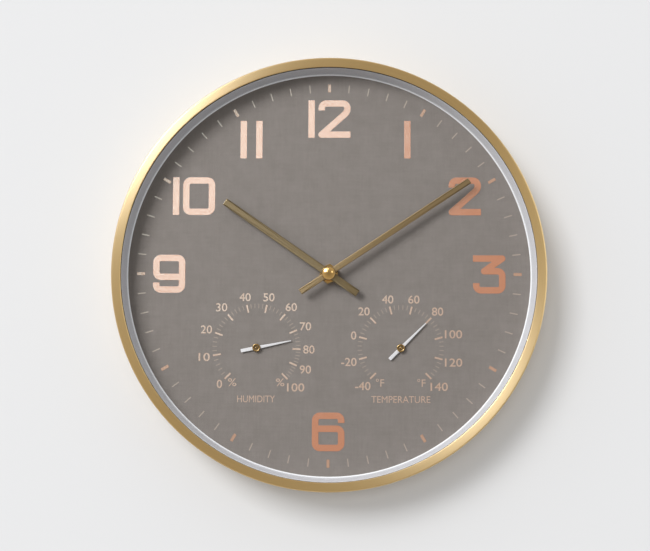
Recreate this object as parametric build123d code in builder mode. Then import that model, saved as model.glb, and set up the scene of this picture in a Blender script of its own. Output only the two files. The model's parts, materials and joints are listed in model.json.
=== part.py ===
from build123d import *
import math
import os

# Round wall clock with a humidity gauge and a thermometer on its dial.
# Units are millimetres. +Z is up, the wall is the plane Y = 0, and the clock faces -Y.
# Heights above the wall are written as "from the wall", so a height h lies at Y = -h.

os.makedirs("parts", exist_ok=True)

# Case: a metal band with a front flange, closed at the back by a plastic cover
clock_diameter = 355.6
case_wall = 0.8
bezel_width = 7.8
bezel_thickness = 0.9
bezel_edge_radius = 1.5
inner_edge_radius = 0.4
case_clearance = 0.3
foil_thickness = 0.12

clock_radius = clock_diameter / 2
case_inner_radius = clock_radius - case_wall
bezel_opening_radius = clock_radius - bezel_width
filling_radius = case_inner_radius - case_clearance

# Glass, its seal and the pale inner ring that spaces it off the dial
lens_thickness = 1.8
seal_thickness = 0.4
seal_width = 5.4

# Dial
dial_edge_inset = 12.0
dial_visible_radius = clock_radius - dial_edge_inset
dial_thickness = 1.0
dial_centre_hole_radius = 4.2
gauge_hole_radius = 2.2

# Inner ring section
ring_wall = 1.3
ring_foot = 0.8
ring_base_width = 7.0
ring_lip_inset = 0.5
ring_lip_radius = bezel_opening_radius - ring_lip_inset

# Back cover
cover_recess = 4.0
cover_thickness = 2.0
cover_rim_width = 3.2
window_corner_radius = 4.0
window_collar_wall = 1.6
window_collar_height = 2.4
vent_count = 7
vent_width = 2.4
vent_length = 26.0
vent_pitch = 5.6
cover_top = cover_recess + cover_thickness

# Screws that hold the back cover to lugs in the case band
lug_count = 6
lug_width = 9.0
lug_length = 11.0
lug_thickness = 1.6
cover_screw_inset = 7.0
cover_screw_circle_radius = case_inner_radius - cover_screw_inset
cover_screw_radius = 1.5
cover_screw_length = 6.0
cover_screw_head_radius = 2.9
cover_screw_head_height = 1.6
screw_hole_clearance = 0.2
screw_thread_clearance = 0.05
screw_recess_radius = 0.9
head_flat_share = 0.6
slot_width_share = 0.22

# Spacer ring between the cover and the dial, inside the lugs
spacer_lug_gap = 2.5
spacer_wall = 2.0
spacer_outer_radius = case_inner_radius - lug_length - spacer_lug_gap

# Hanger plate with its keyhole
hanger_rim_gap = 41.5
hanger_centre_height = filling_radius - cover_rim_width - hanger_rim_gap
hanger_plate_width = 44.0
hanger_plate_height = 34.0
hanger_plate_thickness = 1.2
hanger_corner_radius = 4.0
keyhole_entry_radius = 4.6
keyhole_slot_width = 4.4
keyhole_drop = 5.0
keyhole_rise = 6.5
hanger_pocket_width = 22.0
hanger_pocket_height = 26.0
hanger_pocket_corner_radius = 2.0
hanger_screw_spacing = 34.0
hanger_screw_radius = 1.3
hanger_screw_length = 4.5
hanger_screw_head_radius = 2.4
hanger_screw_head_height = 1.2

# Dial print: minute track
tick_circle_inset = 10.6
tick_circle_radius = dial_visible_radius - tick_circle_inset
tick_length = 6.6
hour_tick_width = 2.4
minute_tick_width = 0.9
hours = 12
minutes = 60

# Dial print: numerals
numeral_height = 31.5
numeral_width = 26.6
numeral_stroke = 5.3
numeral_bend_radius = 3.9
numeral_knee_radius = 6.0
numeral_knee_drop = 9.8
numeral_tail_height = 8.5
nine_bar_height = 13.2
three_bar_height = 18.4
three_bar_inset = 9.2
numeral_pair_gap = 3.1
eleven_pair_gap = 7.7
numeral_circle_inset = 25.8
side_numeral_inset = 23.3
numeral_circle_radius = tick_circle_radius - numeral_circle_inset
side_numeral_radius = tick_circle_radius - side_numeral_inset

# Gauges: places and scales on the dial
gauge_offset = 59.25
gauge_drop = 60.9
humidity_scale_radius = 33.0
temperature_scale_radius = 32.1
scale_major_length = 6.6
scale_major_width = 1.4
scale_minor_length = 3.7
scale_minor_width = 0.7
scale_steps = 5
humidity_major_angles = (-134.6, -100.2, -70.1, -41.0, -13.1, 13.5, 40.3, 66.2, 91.7, 113.7, 134.9)
temperature_major_angles = tuple(-135.0 + 30.0 * step for step in range(10))
humidity_needle_angle = 78.4
temperature_needle_angle = 45.0

# Time shown, from which both hands take their angles
shown_hour = 10
shown_minute = 9.4
minute_angle = 6.0 * shown_minute
hour_angle = 30.0 * shown_hour + minute_angle / hours

# AA battery
battery_radius = 7.25
battery_length = 49.5
battery_nub_radius = 2.75
battery_nub_length = 1.0
battery_shoulder_radius = 0.6

# Movement case, as long as the battery asks, and the window behind it
movement_wall = 1.2
battery_end_room = 3.1
window_gap = 2.0
movement_size = battery_length + battery_nub_length + battery_end_room + 2 * movement_wall
window_size = movement_size + 2 * window_gap
movement_corner_radius = 3.0
gasket_thickness = 1.5
gasket_radius = 14.0
movement_depth = 16.0
movement_rear_gap = 3.5
movement_bottom = cover_top + movement_rear_gap
movement_top = movement_bottom + movement_depth
dial_bottom = movement_top + gasket_thickness
dial_top = dial_bottom + dial_thickness
train_top = movement_top - movement_wall
train_bottom = movement_bottom + movement_wall
movement_half = movement_size / 2
movement_inner_half = movement_half - movement_wall

# Battery bay along the lower edge of the movement
battery_clearance = 0.35
bay_width = 2 * (battery_radius + battery_clearance)
bay_wall = 1.0
bay_top = bay_width - movement_inner_half
train_floor = bay_top + bay_wall
battery_z = bay_width / 2 - movement_inner_half
battery_height = train_top - battery_clearance - battery_radius
contact_thickness = 0.3
contact_width = 10.0
contact_tab_width = 3.0
contact_slot_clearance = 0.2
contact_rise = 5.0

# Threaded bushing and what clamps the dial on it
fit_clearance = 0.05
running_clearance = 0.07
hour_tube_radius = 2.62
minute_tube_radius = 1.65
bushing_radius = 3.9
bushing_flange_radius = 5.2
bushing_flange_thickness = 0.5
bushing_reach = 3.6
washer_radius = 7.0
washer_thickness = 0.5
nut_across_flats = 14.4
nut_thickness = 2.5
nut_sides = 6
nut_turn = 23.0
bushing_bore_radius = hour_tube_radius + running_clearance
hour_tube_bore_radius = minute_tube_radius + running_clearance
washer_top = dial_top + washer_thickness
nut_top = washer_top + nut_thickness
bushing_top = dial_top + bushing_reach

# Hands
hand_thickness = 0.8
hour_hand_inset = 50.6
hour_hand_length = tick_circle_radius - hour_hand_inset
hour_hand_tail = 28.9
hour_hand_width = 6.1
minute_hand_inset = 16.4
minute_hand_length = tick_circle_radius - minute_hand_inset
minute_hand_tail = 27.8
minute_hand_width = 5.0
hour_collet_radius = 3.4
hour_collet_thickness = 0.8
minute_collet_radius = 2.6
minute_collet_thickness = 0.6
hour_seat_radius = 2.3
hand_corner_radius = 0.35
hand_gap = 0.4
hour_hand_bottom = bushing_top + hand_gap + hour_collet_thickness
hour_hand_top = hour_hand_bottom + hand_thickness
hour_tube_top = hour_hand_top + hand_gap
minute_hand_bottom = hour_tube_top + hand_gap + minute_collet_thickness
minute_hand_top = minute_hand_bottom + hand_thickness

# Domed cap nut
cap_base_radius = 4.6
cap_base_thickness = 0.6
cap_radius = 5.65
cap_side_height = 1.7
cap_dome_height = 2.6
cap_thread_depth = 2.6

# Heights of the glass and the front, which stand on the stack of the hands
cap_glass_gap = 0.6
cap_waist = minute_hand_top + cap_base_thickness
cap_shoulder = cap_waist + cap_side_height
cap_top = cap_shoulder + cap_dome_height
lens_bottom = cap_top + cap_glass_gap
seal_bottom = lens_bottom - seal_thickness
lens_top = lens_bottom + lens_thickness
case_depth = lens_top + bezel_thickness

# Gear train: tooth counts
rotor_teeth = 10
intermediate_teeth = 60
intermediate_pinion_teeth = 12
second_teeth = 60
second_pinion_teeth = 8
third_teeth = 60
third_pinion_teeth = 8
centre_teeth = 64
cannon_teeth = 12
motion_teeth = 36
motion_pinion_teeth = 10
hour_teeth = 40
setting_teeth = 12

# Gear train: distances between axes, and the angles of the lines between them
train_distance = 10.8
rotor_distance = 8.75
motion_distance = 9.0
setting_distance = 9.0
third_angle = 30.0
intermediate_angle = 160.0
rotor_angle = 100.0
motion_angle = 82.7
setting_angle = 61.0

# Gear teeth, as shares of the module and of the tooth pitch
tooth_tip_share = 0.8
tooth_root_share = 1.15
tooth_root_width_share = 0.62
tooth_pitch_width_share = 0.40
tooth_tip_width_share = 0.16

# Gear train: thicknesses and heights inside the movement
wheel_thickness = 0.8
pinion_thickness = 1.6
arbor_radius = 0.6
pivot_depth = 0.6
hour_gear_thickness = 1.0
layer_gap = 0.4
plate_thickness = 1.0
plate_top_drop = 4.7
magnet_radius = 3.0
magnet_thickness = 2.2
stator_thickness = 0.8
plate_top = train_top - plate_top_drop
plate_bottom = plate_top - plate_thickness
first_pinion_bottom = train_bottom + 3 * layer_gap
first_wheel_bottom = first_pinion_bottom + layer_gap
second_wheel_bottom = first_wheel_bottom + wheel_thickness + 3.5 * layer_gap
second_level_pinion_bottom = second_wheel_bottom - layer_gap
centre_wheel_bottom = second_wheel_bottom + wheel_thickness + 3.5 * layer_gap
third_pinion_bottom = centre_wheel_bottom - layer_gap
motion_wheel_bottom = plate_top + 2.5 * layer_gap
motion_wheel_top = motion_wheel_bottom + hour_gear_thickness
hour_gear_bottom = motion_wheel_top + 2.5 * layer_gap

# Coil, core and circuit board
coil_x = -13.0
coil_z = 22.0
coil_length = 20.0
coil_flange_radius = 4.2
coil_flange_thickness = 0.8
coil_tube_radius = 2.5
coil_winding_radius = 3.9
core_length = 26.0
core_width = 3.6
core_thickness = 0.8
stator_bar_width = 3.6
stator_ring_radius = 5.4
stator_bore_radius = 3.5
board_thickness = 1.0
board_left = 8.0
board_lower = 9.0
chip_radius = 3.0
chip_height = 1.0
crystal_radius = 1.5
crystal_length = 7.0

# Setting knob at the back of the movement
stem_radius = 1.2
knob_radius = 5.0
knob_thickness = 2.4
knob_flute_count = 18
knob_flute_radius = 0.35

# Gauge mechanisms behind the dial
gauge_cup_radius = 20.0
gauge_cup_wall = 1.2
gauge_cup_depth = 12.0
gauge_flange_width = 3.5
gauge_flange_thickness = 1.2
gauge_vent_width = 2.0
gauge_vent_inner_radius = 7.0
gauge_vent_outer_radius = 15.0
gauge_vent_count = 8
gauge_ledge_width = 1.6
gauge_pivot_radius = 2.4
gauge_pivot_height = 1.6
bridge_width = 7.0
bridge_thickness = 1.0
bridge_inset = 1.4
gauge_arbor_radius = 0.6
coil_hub_radius = 1.6
coil_hub_length = 3.0
coil_strip_thickness = 0.35
coil_points_per_turn = 16
coil_outer_radius = 12.5
humidity_coil_turns = 5.5
temperature_coil_turns = 7.5
coil_lift = 2.4
coil_stud_radius = 1.0
needle_lift = 1.0
needle_thickness = 0.5
needle_length = 29.1
needle_tail = 13.0
needle_hub_radius = 3.0
needle_root_width = 2.7
needle_tip_width = 0.8
needle_tail_width = 2.8
needle_cap_radius = 3.3
needle_cap_thickness = 1.1
needle_groove_outer_radius = 2.3
needle_groove_inner_radius = 1.5
needle_groove_depth = 0.5
gauge_cup_bottom = dial_bottom - gauge_cup_depth
gauge_floor = gauge_cup_bottom + gauge_cup_wall
needle_bottom = dial_top + needle_lift
needle_top = needle_bottom + needle_thickness

# One overrun serves every cut that has to pass through a face
overrun = 1.0


def front(height, x=0, z=0):
    """Plane that faces the viewer at a height from the wall; its axes are +X and +Z."""
    return Plane(origin=(x, -height, z), x_dir=(1, 0, 0), z_dir=(0, -1, 0))


def section(x=0, z=0):
    """Plane through an axis square to the wall, for profiles of (radius, -height)."""
    return Plane(origin=(x, 0, z), x_dir=(1, 0, 0), z_dir=(0, 0, 1))


def crosswise(x, height, z):
    """Plane that faces +X at a place given by its height from the wall, for round bars along X."""
    return Plane(origin=(x, -height, z), x_dir=(0, 1, 0), z_dir=(1, 0, 0))


def disc(radius, low, high, x=0, z=0, mode=Mode.ADD):
    """Round slab or hole between two heights from the wall."""
    with BuildSketch(front(low, x, z)) as outline:
        Circle(radius)
    extrude(outline.sketch, amount=high - low, mode=mode)


def ring(outer, inner, low, high, x=0, z=0, mode=Mode.ADD):
    """Round slab with a round hole."""
    with BuildSketch(front(low, x, z)) as outline:
        Circle(outer)
        Circle(inner, mode=Mode.SUBTRACT)
    extrude(outline.sketch, amount=high - low, mode=mode)


def slab(left, right, lower, upper, low, high, mode=Mode.ADD):
    """Square-cornered block between two heights from the wall."""
    width = right - left
    height = upper - lower
    with BuildSketch(front(low, (left + right) / 2, (lower + upper) / 2)) as outline:
        Rectangle(width, height)
    extrude(outline.sketch, amount=high - low, mode=mode)


def turned(points, x=0, z=0, mode=Mode.ADD):
    """Solid turned about an axis square to the wall, from points of (radius, height)."""
    with BuildSketch(section(x, z)) as outline:
        with BuildLine():
            Polyline([(radius, -height) for radius, height in points], close=True)
        make_face()
    revolve(outline.sketch, axis=Axis((x, 0, z), (0, 1, 0)), mode=mode)


def gear(teeth, module, phase, low, high, x=0, z=0):
    """Spur gear with straight-flanked slim teeth; one tooth points along phase degrees."""
    pitch_radius = module * teeth / 2
    root = pitch_radius - tooth_root_share * module
    tip = pitch_radius + tooth_tip_share * module
    pitch = 2 * math.pi / teeth
    flank = (
        (root, -tooth_root_width_share),
        (pitch_radius, -tooth_pitch_width_share),
        (tip, -tooth_tip_width_share),
        (tip, tooth_tip_width_share),
        (pitch_radius, tooth_pitch_width_share),
        (root, tooth_root_width_share),
    )
    outline_points = []
    for number in range(teeth):
        middle = math.radians(phase) + number * pitch
        for radius, share in flank:
            angle = middle + share * pitch / 2
            outline_points.append((radius * math.cos(angle), radius * math.sin(angle)))
    with BuildSketch(front(low, x, z)) as outline:
        with BuildLine():
            Polyline(outline_points, close=True)
        make_face()
    extrude(outline.sketch, amount=high - low)


def module_of(distance, teeth_a, teeth_b):
    """Module that puts two meshed gears at the given distance."""
    return 2 * distance / (teeth_a + teeth_b)


def mating_phase(line_angle, teeth):
    """Phase of a gear whose gap, not tooth, faces back along the line of centres."""
    return line_angle + 180.0 + 180.0 / teeth


def along(distance, angle, x=0, z=0):
    """Point at a distance and an angle from another point on the dial plane."""
    return (x + distance * math.cos(math.radians(angle)), z + distance * math.sin(math.radians(angle)))


def clock_point(radius, angle, x=0, z=0):
    """Point on a circle, by an angle counted clockwise from twelve o'clock."""
    return along(radius, 90.0 - angle, x, z)


def finish(part, name):
    """Label a finished piece and write its file."""
    part.label = name
    export_step(part, "parts/" + name + ".step")


# Case band with its front flange
with BuildPart() as case_ring:
    with BuildSketch(section()):
        with BuildLine():
            Polyline(
                (clock_radius, 0),
                (clock_radius, -case_depth),
                (bezel_opening_radius, -case_depth),
                (bezel_opening_radius, -lens_top),
                (case_inner_radius, -lens_top),
                (case_inner_radius, 0),
                close=True,
            )
        face = make_face()
        front_outer = face.vertices().group_by(Axis.Y)[0].sort_by(Axis.X)[-1]
        fillet(front_outer, bezel_edge_radius)
        front_inner = face.vertices().group_by(Axis.Y)[0].sort_by(Axis.X)[0]
        fillet(front_inner, inner_edge_radius)
    revolve(axis=Axis.Y)
finish(case_ring.part, "case_ring")

# Lugs inside the band that take the cover screws
lug_angles = [360.0 / lug_count * (number + 0.5) for number in range(lug_count)]
screw_places = [along(cover_screw_circle_radius, angle) for angle in lug_angles]
with BuildPart() as case_lugs:
    ring(case_inner_radius, case_inner_radius - lug_length, cover_top, cover_top + lug_thickness)
    with BuildSketch(front(cover_top)) as lug_bars:
        with PolarLocations(cover_screw_circle_radius, lug_count, start_angle=lug_angles[0]):
            Rectangle(2 * lug_length, lug_width)
    extrude(lug_bars.sketch, amount=lug_thickness, mode=Mode.INTERSECT)
    for x, z in screw_places:
        hole = cover_screw_radius + screw_thread_clearance
        disc(hole, cover_top - overrun, cover_top + lug_thickness + overrun, x, z, mode=Mode.SUBTRACT)
finish(case_lugs.part, "case_lugs")

# Flat glass under the flange
with BuildPart() as glass_lens:
    disc(filling_radius, lens_bottom, lens_top)
finish(glass_lens.part, "glass_lens")

# Foam seal between the glass and the inner ring
with BuildPart() as lens_seal:
    ring(ring_lip_radius + seal_width, ring_lip_radius + inner_edge_radius, seal_bottom, lens_bottom)
finish(lens_seal.part, "lens_seal")

# Pale inner ring, a moulded channel whose inner wall leans out towards the glass
ring_outer_radius = ring_lip_radius + seal_width
ring_base_radius = dial_visible_radius + ring_base_width
with BuildPart() as inner_ring:
    turned(
        [
            (dial_visible_radius, dial_top),
            (dial_visible_radius, dial_top + ring_foot),
            (ring_lip_radius, seal_bottom),
            (ring_outer_radius, seal_bottom),
            (ring_outer_radius, seal_bottom - ring_wall),
            (ring_lip_radius + ring_wall, seal_bottom - ring_wall),
            (dial_visible_radius + ring_wall, dial_top + ring_wall),
            (ring_base_radius, dial_top + ring_wall),
            (ring_base_radius, dial_top),
        ]
    )
finish(inner_ring.part, "inner_ring")

# Dial plate with holes for the hands and the two gauges
gauge_places = ((-gauge_offset, -gauge_drop), (gauge_offset, -gauge_drop))
with BuildPart() as dial_plate:
    disc(filling_radius, dial_bottom, dial_top)
    disc(dial_centre_hole_radius, dial_bottom - overrun, dial_top + overrun, mode=Mode.SUBTRACT)
    for x, z in gauge_places:
        disc(gauge_hole_radius, dial_bottom - overrun, dial_top + overrun, x, z, mode=Mode.SUBTRACT)
finish(dial_plate.part, "dial_plate")


def tick(radius, angle, length, width, x=0, z=0):
    """Foil bar that points at a centre, by its clock angle and the radius of its middle."""
    tick_x, tick_z = clock_point(radius, angle, x, z)
    with BuildSketch(front(dial_top, tick_x, tick_z)) as outline:
        Rectangle(width, length, rotation=-angle)
    extrude(outline.sketch, amount=foil_thickness)


# Hour marks of the minute track
with BuildPart() as hour_marks:
    for number in range(hours):
        tick(tick_circle_radius, 360.0 / hours * number, tick_length, hour_tick_width)
finish(hour_marks.part, "hour_marks")

# Minute marks between them
with BuildPart() as minute_marks:
    for number in range(minutes):
        if number % (minutes // hours):
            tick(tick_circle_radius, 360.0 / minutes * number, tick_length, minute_tick_width)
finish(minute_marks.part, "minute_marks")

# Foil numerals, each drawn about its middle along the centre line of its stroke
half_stroke = numeral_stroke / 2
half_width = numeral_width / 2
half_height = numeral_height / 2
line_x = half_width - half_stroke
line_z = half_height - half_stroke
bend = numeral_bend_radius


def stroke(points, radii):
    """Even stroke along a path whose corners are rounded by the given radii."""
    with BuildLine() as path:
        FilletPolyline(points, radius=radii)
    trace(path.line, numeral_stroke)


def straight(start, end):
    """Even straight stroke between two points."""
    with BuildLine() as path:
        Line(start, end)
    trace(path.line, numeral_stroke)


def joint(point):
    """Round end where two strokes meet at a sharp angle."""
    with Locations(point):
        Circle(half_stroke)


def digit_one():
    """Plain upright bar."""
    Rectangle(numeral_stroke, numeral_height)


def digit_two():
    """Hooked top, a knee and a slanting stroke down to the foot."""
    stroke(
        [
            (-line_x, half_height - numeral_tail_height),
            (-line_x, line_z),
            (line_x, line_z),
            (line_x, half_height - numeral_knee_drop),
            (-line_x, -line_z),
        ],
        [bend, bend, numeral_knee_radius],
    )
    straight((-line_x, -line_z), (half_width, -line_z))
    joint((-line_x, -line_z))


def digit_three():
    """Flat top, a slanting stroke to the middle bar and an open lower bowl."""
    waist = (three_bar_inset - half_width, three_bar_height - half_height)
    straight((-half_width, line_z), (line_x, line_z))
    straight((line_x, line_z), waist)
    joint((line_x, line_z))
    joint(waist)
    stroke(
        [
            waist,
            (line_x, three_bar_height - half_height),
            (line_x, -line_z),
            (-line_x, -line_z),
            (-line_x, numeral_tail_height - half_height),
        ],
        [bend, bend, bend],
    )


def digit_nine(turn=1):
    """Upper bowl on a long side that curls under; turn -1 gives the six."""
    bar = nine_bar_height - half_height
    path = [
        (0, bar),
        (-line_x, bar),
        (-line_x, line_z),
        (line_x, line_z),
        (line_x, -line_z),
        (-line_x, -line_z),
        (-line_x, numeral_tail_height - half_height),
    ]
    stroke([(turn * x, turn * z) for x, z in path], [bend, bend, bend, bend, bend])
    with Locations((turn * line_x / 2, turn * bar)):
        Rectangle(line_x, numeral_stroke)


def digit_six():
    """The nine turned half round."""
    digit_nine(turn=-1)


def digit_zero():
    """Rounded rectangle with an even wall."""
    RectangleRounded(numeral_width, numeral_height, bend + half_stroke)
    RectangleRounded(
        numeral_width - 2 * numeral_stroke,
        numeral_height - 2 * numeral_stroke,
        bend - half_stroke,
        mode=Mode.SUBTRACT,
    )


def numeral(draw, x, z):
    """Digit raised as foil with its middle at a point of the dial."""
    with BuildSketch(front(dial_top, x, z)) as outline:
        draw()
    extrude(outline.sketch, amount=foil_thickness)


pair_width = numeral_stroke + numeral_pair_gap + numeral_width
pair_one_shift = (numeral_stroke - pair_width) / 2
pair_digit_shift = (pair_width - numeral_width) / 2
eleven_shift = (numeral_stroke + eleven_pair_gap) / 2
with BuildPart() as dial_numerals:
    x, z = clock_point(numeral_circle_radius, 0)
    numeral(digit_one, x + pair_one_shift, z)
    numeral(digit_two, x + pair_digit_shift, z)
    x, z = clock_point(numeral_circle_radius, 30.0)
    numeral(digit_one, x, z)
    x, z = clock_point(numeral_circle_radius, 60.0)
    numeral(digit_two, x, z)
    x, z = clock_point(side_numeral_radius, 90.0)
    numeral(digit_three, x, z)
    x, z = clock_point(numeral_circle_radius, 180.0)
    numeral(digit_six, x, z)
    x, z = clock_point(side_numeral_radius, 270.0)
    numeral(digit_nine, x, z)
    x, z = clock_point(numeral_circle_radius, 300.0)
    numeral(digit_one, x + pair_one_shift, z)
    numeral(digit_zero, x + pair_digit_shift, z)
    x, z = clock_point(numeral_circle_radius, 330.0)
    numeral(digit_one, x - eleven_shift, z)
    numeral(digit_one, x + eleven_shift, z)
finish(dial_numerals.part, "dial_numerals")


def scale_marks(major_angles, radius, x, z):
    """Long marks at the major angles and short ones between, level at their outer ends."""
    minor_radius = radius + (scale_major_length - scale_minor_length) / 2
    for angle in major_angles:
        tick(radius, angle, scale_major_length, scale_major_width, x, z)
    for first, last in zip(major_angles, major_angles[1:]):
        for step in range(1, scale_steps):
            angle = first + (last - first) * step / scale_steps
            tick(minor_radius, angle, scale_minor_length, scale_minor_width, x, z)


# Printed scale of the humidity gauge, from 0 to 100 percent
with BuildPart() as humidity_scale:
    scale_marks(humidity_major_angles, humidity_scale_radius, *gauge_places[0])
finish(humidity_scale.part, "humidity_scale")

# Printed scale of the thermometer, from -40 to 140 degrees Fahrenheit
with BuildPart() as temperature_scale:
    scale_marks(temperature_major_angles, temperature_scale_radius, *gauge_places[1])
finish(temperature_scale.part, "temperature_scale")

# Plastic back cover: a recessed disc with a rim that meets the wall
cover_rim_inner_radius = filling_radius - cover_rim_width
hanger_screw_places = (
    (-hanger_screw_spacing / 2, hanger_centre_height),
    (hanger_screw_spacing / 2, hanger_centre_height),
)
with BuildPart() as back_cover:
    disc(filling_radius, cover_recess, cover_top)
    ring(filling_radius, cover_rim_inner_radius, 0, cover_recess)
    collar_size = window_size + 2 * window_collar_wall
    with BuildSketch(front(cover_top)) as collar_sketch:
        RectangleRounded(collar_size, collar_size, window_corner_radius + window_collar_wall)
    extrude(collar_sketch.sketch, amount=window_collar_height)
    with BuildSketch(front(cover_recess - overrun)) as window_sketch:
        RectangleRounded(window_size, window_size, window_corner_radius)
    extrude(
        window_sketch.sketch,
        amount=overrun + cover_thickness + window_collar_height + overrun,
        mode=Mode.SUBTRACT,
    )
    with BuildSketch(front(cover_recess - overrun, 0, hanger_centre_height)) as pocket_sketch:
        RectangleRounded(hanger_pocket_width, hanger_pocket_height, hanger_pocket_corner_radius)
    extrude(pocket_sketch.sketch, amount=cover_thickness + 2 * overrun, mode=Mode.SUBTRACT)
    for x, z in gauge_places:
        with BuildSketch(front(cover_recess - overrun, x, z)) as vent_sketch:
            with GridLocations(vent_pitch, 0, vent_count, 1):
                SlotOverall(vent_length, vent_width, rotation=90)
        extrude(vent_sketch.sketch, amount=cover_thickness + 2 * overrun, mode=Mode.SUBTRACT)
    for x, z in screw_places:
        hole = cover_screw_radius + screw_hole_clearance
        disc(hole, cover_recess - overrun, cover_top + overrun, x, z, mode=Mode.SUBTRACT)
    for x, z in hanger_screw_places:
        hole = hanger_screw_radius + screw_thread_clearance
        disc(hole, cover_recess - overrun, cover_top + overrun, x, z, mode=Mode.SUBTRACT)
finish(back_cover.part, "back_cover")

# Spacer ring that presses the dial forward off the cover
with BuildPart() as dial_spacer:
    ring(spacer_outer_radius, spacer_outer_radius - spacer_wall, cover_top, dial_bottom)
finish(dial_spacer.part, "dial_spacer")


def pan_screw(radius, length, head_radius, head_height, seat, x, z):
    """Pan head screw whose head rests on a seat and whose shank runs towards the dial."""
    disc(radius, seat, seat + length, x, z)
    turned(
        [
            (0, seat - head_height),
            (head_radius * head_flat_share, seat - head_height),
            (head_radius, seat - head_height * head_flat_share),
            (head_radius, seat),
            (0, seat),
        ],
        x,
        z,
    )
    low = seat - head_height - overrun
    high = seat - head_height * head_flat_share
    arm = 2 * screw_recess_radius
    slot = arm * slot_width_share
    slab(x - arm, x + arm, z - slot, z + slot, low, high, mode=Mode.SUBTRACT)
    slab(x - slot, x + slot, z - arm, z + arm, low, high, mode=Mode.SUBTRACT)


# Screws of the back cover
with BuildPart() as cover_screws:
    for x, z in screw_places:
        pan_screw(
            cover_screw_radius,
            cover_screw_length,
            cover_screw_head_radius,
            cover_screw_head_height,
            cover_recess,
            x,
            z,
        )
finish(cover_screws.part, "cover_screws")

# Steel hanger plate over the pocket of the cover
hanger_bottom = cover_recess - hanger_plate_thickness
keyhole_entry_z = hanger_centre_height - keyhole_drop
keyhole_top_z = hanger_centre_height + keyhole_rise
with BuildPart() as hanger_plate:
    with BuildSketch(front(hanger_bottom, 0, hanger_centre_height)):
        RectangleRounded(hanger_plate_width, hanger_plate_height, hanger_corner_radius)
    extrude(amount=hanger_plate_thickness)
    low = hanger_bottom - overrun
    high = cover_recess + overrun
    disc(keyhole_entry_radius, low, high, 0, keyhole_entry_z, mode=Mode.SUBTRACT)
    disc(keyhole_slot_width / 2, low, high, 0, keyhole_top_z, mode=Mode.SUBTRACT)
    half_slot = keyhole_slot_width / 2
    slab(-half_slot, half_slot, keyhole_entry_z, keyhole_top_z, low, high, mode=Mode.SUBTRACT)
    for x, z in hanger_screw_places:
        disc(hanger_screw_radius + screw_hole_clearance, low, high, x, z, mode=Mode.SUBTRACT)
finish(hanger_plate.part, "hanger_plate")

# Screws of the hanger plate
with BuildPart() as hanger_screws:
    for x, z in hanger_screw_places:
        pan_screw(
            hanger_screw_radius,
            hanger_screw_length,
            hanger_screw_head_radius,
            hanger_screw_head_height,
            hanger_bottom,
            x,
            z,
        )
finish(hanger_screws.part, "hanger_screws")

# Places and modules of the gear train
third_x, third_z = along(train_distance, third_angle)
intermediate_x, intermediate_z = along(train_distance, intermediate_angle)
rotor_x, rotor_z = along(rotor_distance, rotor_angle, intermediate_x, intermediate_z)
motion_x, motion_z = along(motion_distance, motion_angle)
stem_x, stem_z = along(setting_distance, setting_angle, motion_x, motion_z)
rotor_module = module_of(rotor_distance, rotor_teeth, intermediate_teeth)
intermediate_module = module_of(train_distance, intermediate_pinion_teeth, second_teeth)
second_module = module_of(train_distance, second_pinion_teeth, third_teeth)
third_module = module_of(train_distance, third_pinion_teeth, centre_teeth)
cannon_module = module_of(motion_distance, cannon_teeth, motion_teeth)
hour_module = module_of(motion_distance, motion_pinion_teeth, hour_teeth)

# Front case of the movement: a tray open to the rear, with the battery bay walled off
post_radius = 1.6
post_inset = 2.6
post_places = [
    (side * (movement_inner_half - post_inset), level)
    for side in (-1, 1)
    for level in (train_floor + post_inset, movement_inner_half - post_inset)
]
bay_wall_end = movement_inner_half - contact_thickness - contact_slot_clearance
with BuildPart() as movement_case:
    with BuildSketch(front(train_bottom)) as body_sketch:
        RectangleRounded(movement_size, movement_size, movement_corner_radius)
    extrude(body_sketch.sketch, amount=movement_top - train_bottom)
    slab(
        -movement_inner_half,
        movement_inner_half,
        train_floor,
        movement_inner_half,
        train_bottom - overrun,
        train_top,
        mode=Mode.SUBTRACT,
    )
    slab(
        -movement_inner_half,
        movement_inner_half,
        -movement_inner_half,
        bay_top,
        train_bottom - overrun,
        train_top,
        mode=Mode.SUBTRACT,
    )
    for side in (-1, 1):
        inner, outer = sorted((side * bay_wall_end, side * movement_inner_half))
        slab(
            inner,
            outer,
            bay_top - bay_wall,
            train_floor + bay_wall,
            train_bottom - overrun,
            train_top,
            mode=Mode.SUBTRACT,
        )
    disc(bushing_radius + fit_clearance, train_top - overrun, movement_top + overrun, mode=Mode.SUBTRACT)
    for x, z in post_places:
        disc(post_radius, plate_top, train_top, x, z)
finish(movement_case.part, "movement_case")

# Rear cover of the movement over the gear train, with blind pivot holes
cover_lower_edge = bay_top
pivot_places = (
    (0, 0),
    (third_x, third_z),
    (intermediate_x, intermediate_z),
    (rotor_x, rotor_z),
)
with BuildPart() as movement_cover:
    slab(
        -movement_half,
        movement_half,
        cover_lower_edge,
        movement_half,
        movement_bottom,
        train_bottom,
    )
    corners = movement_cover.edges().filter_by(Axis.Y).group_by(Axis.Z)[-1]
    fillet(corners, movement_corner_radius)
    for x, z in pivot_places:
        disc(
            arbor_radius + fit_clearance,
            train_bottom - pivot_depth,
            train_bottom + overrun,
            x,
            z,
            mode=Mode.SUBTRACT,
        )
    disc(
        stem_radius + running_clearance,
        movement_bottom - overrun,
        train_bottom + overrun,
        stem_x,
        stem_z,
        mode=Mode.SUBTRACT,
    )
finish(movement_cover.part, "movement_cover")

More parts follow.
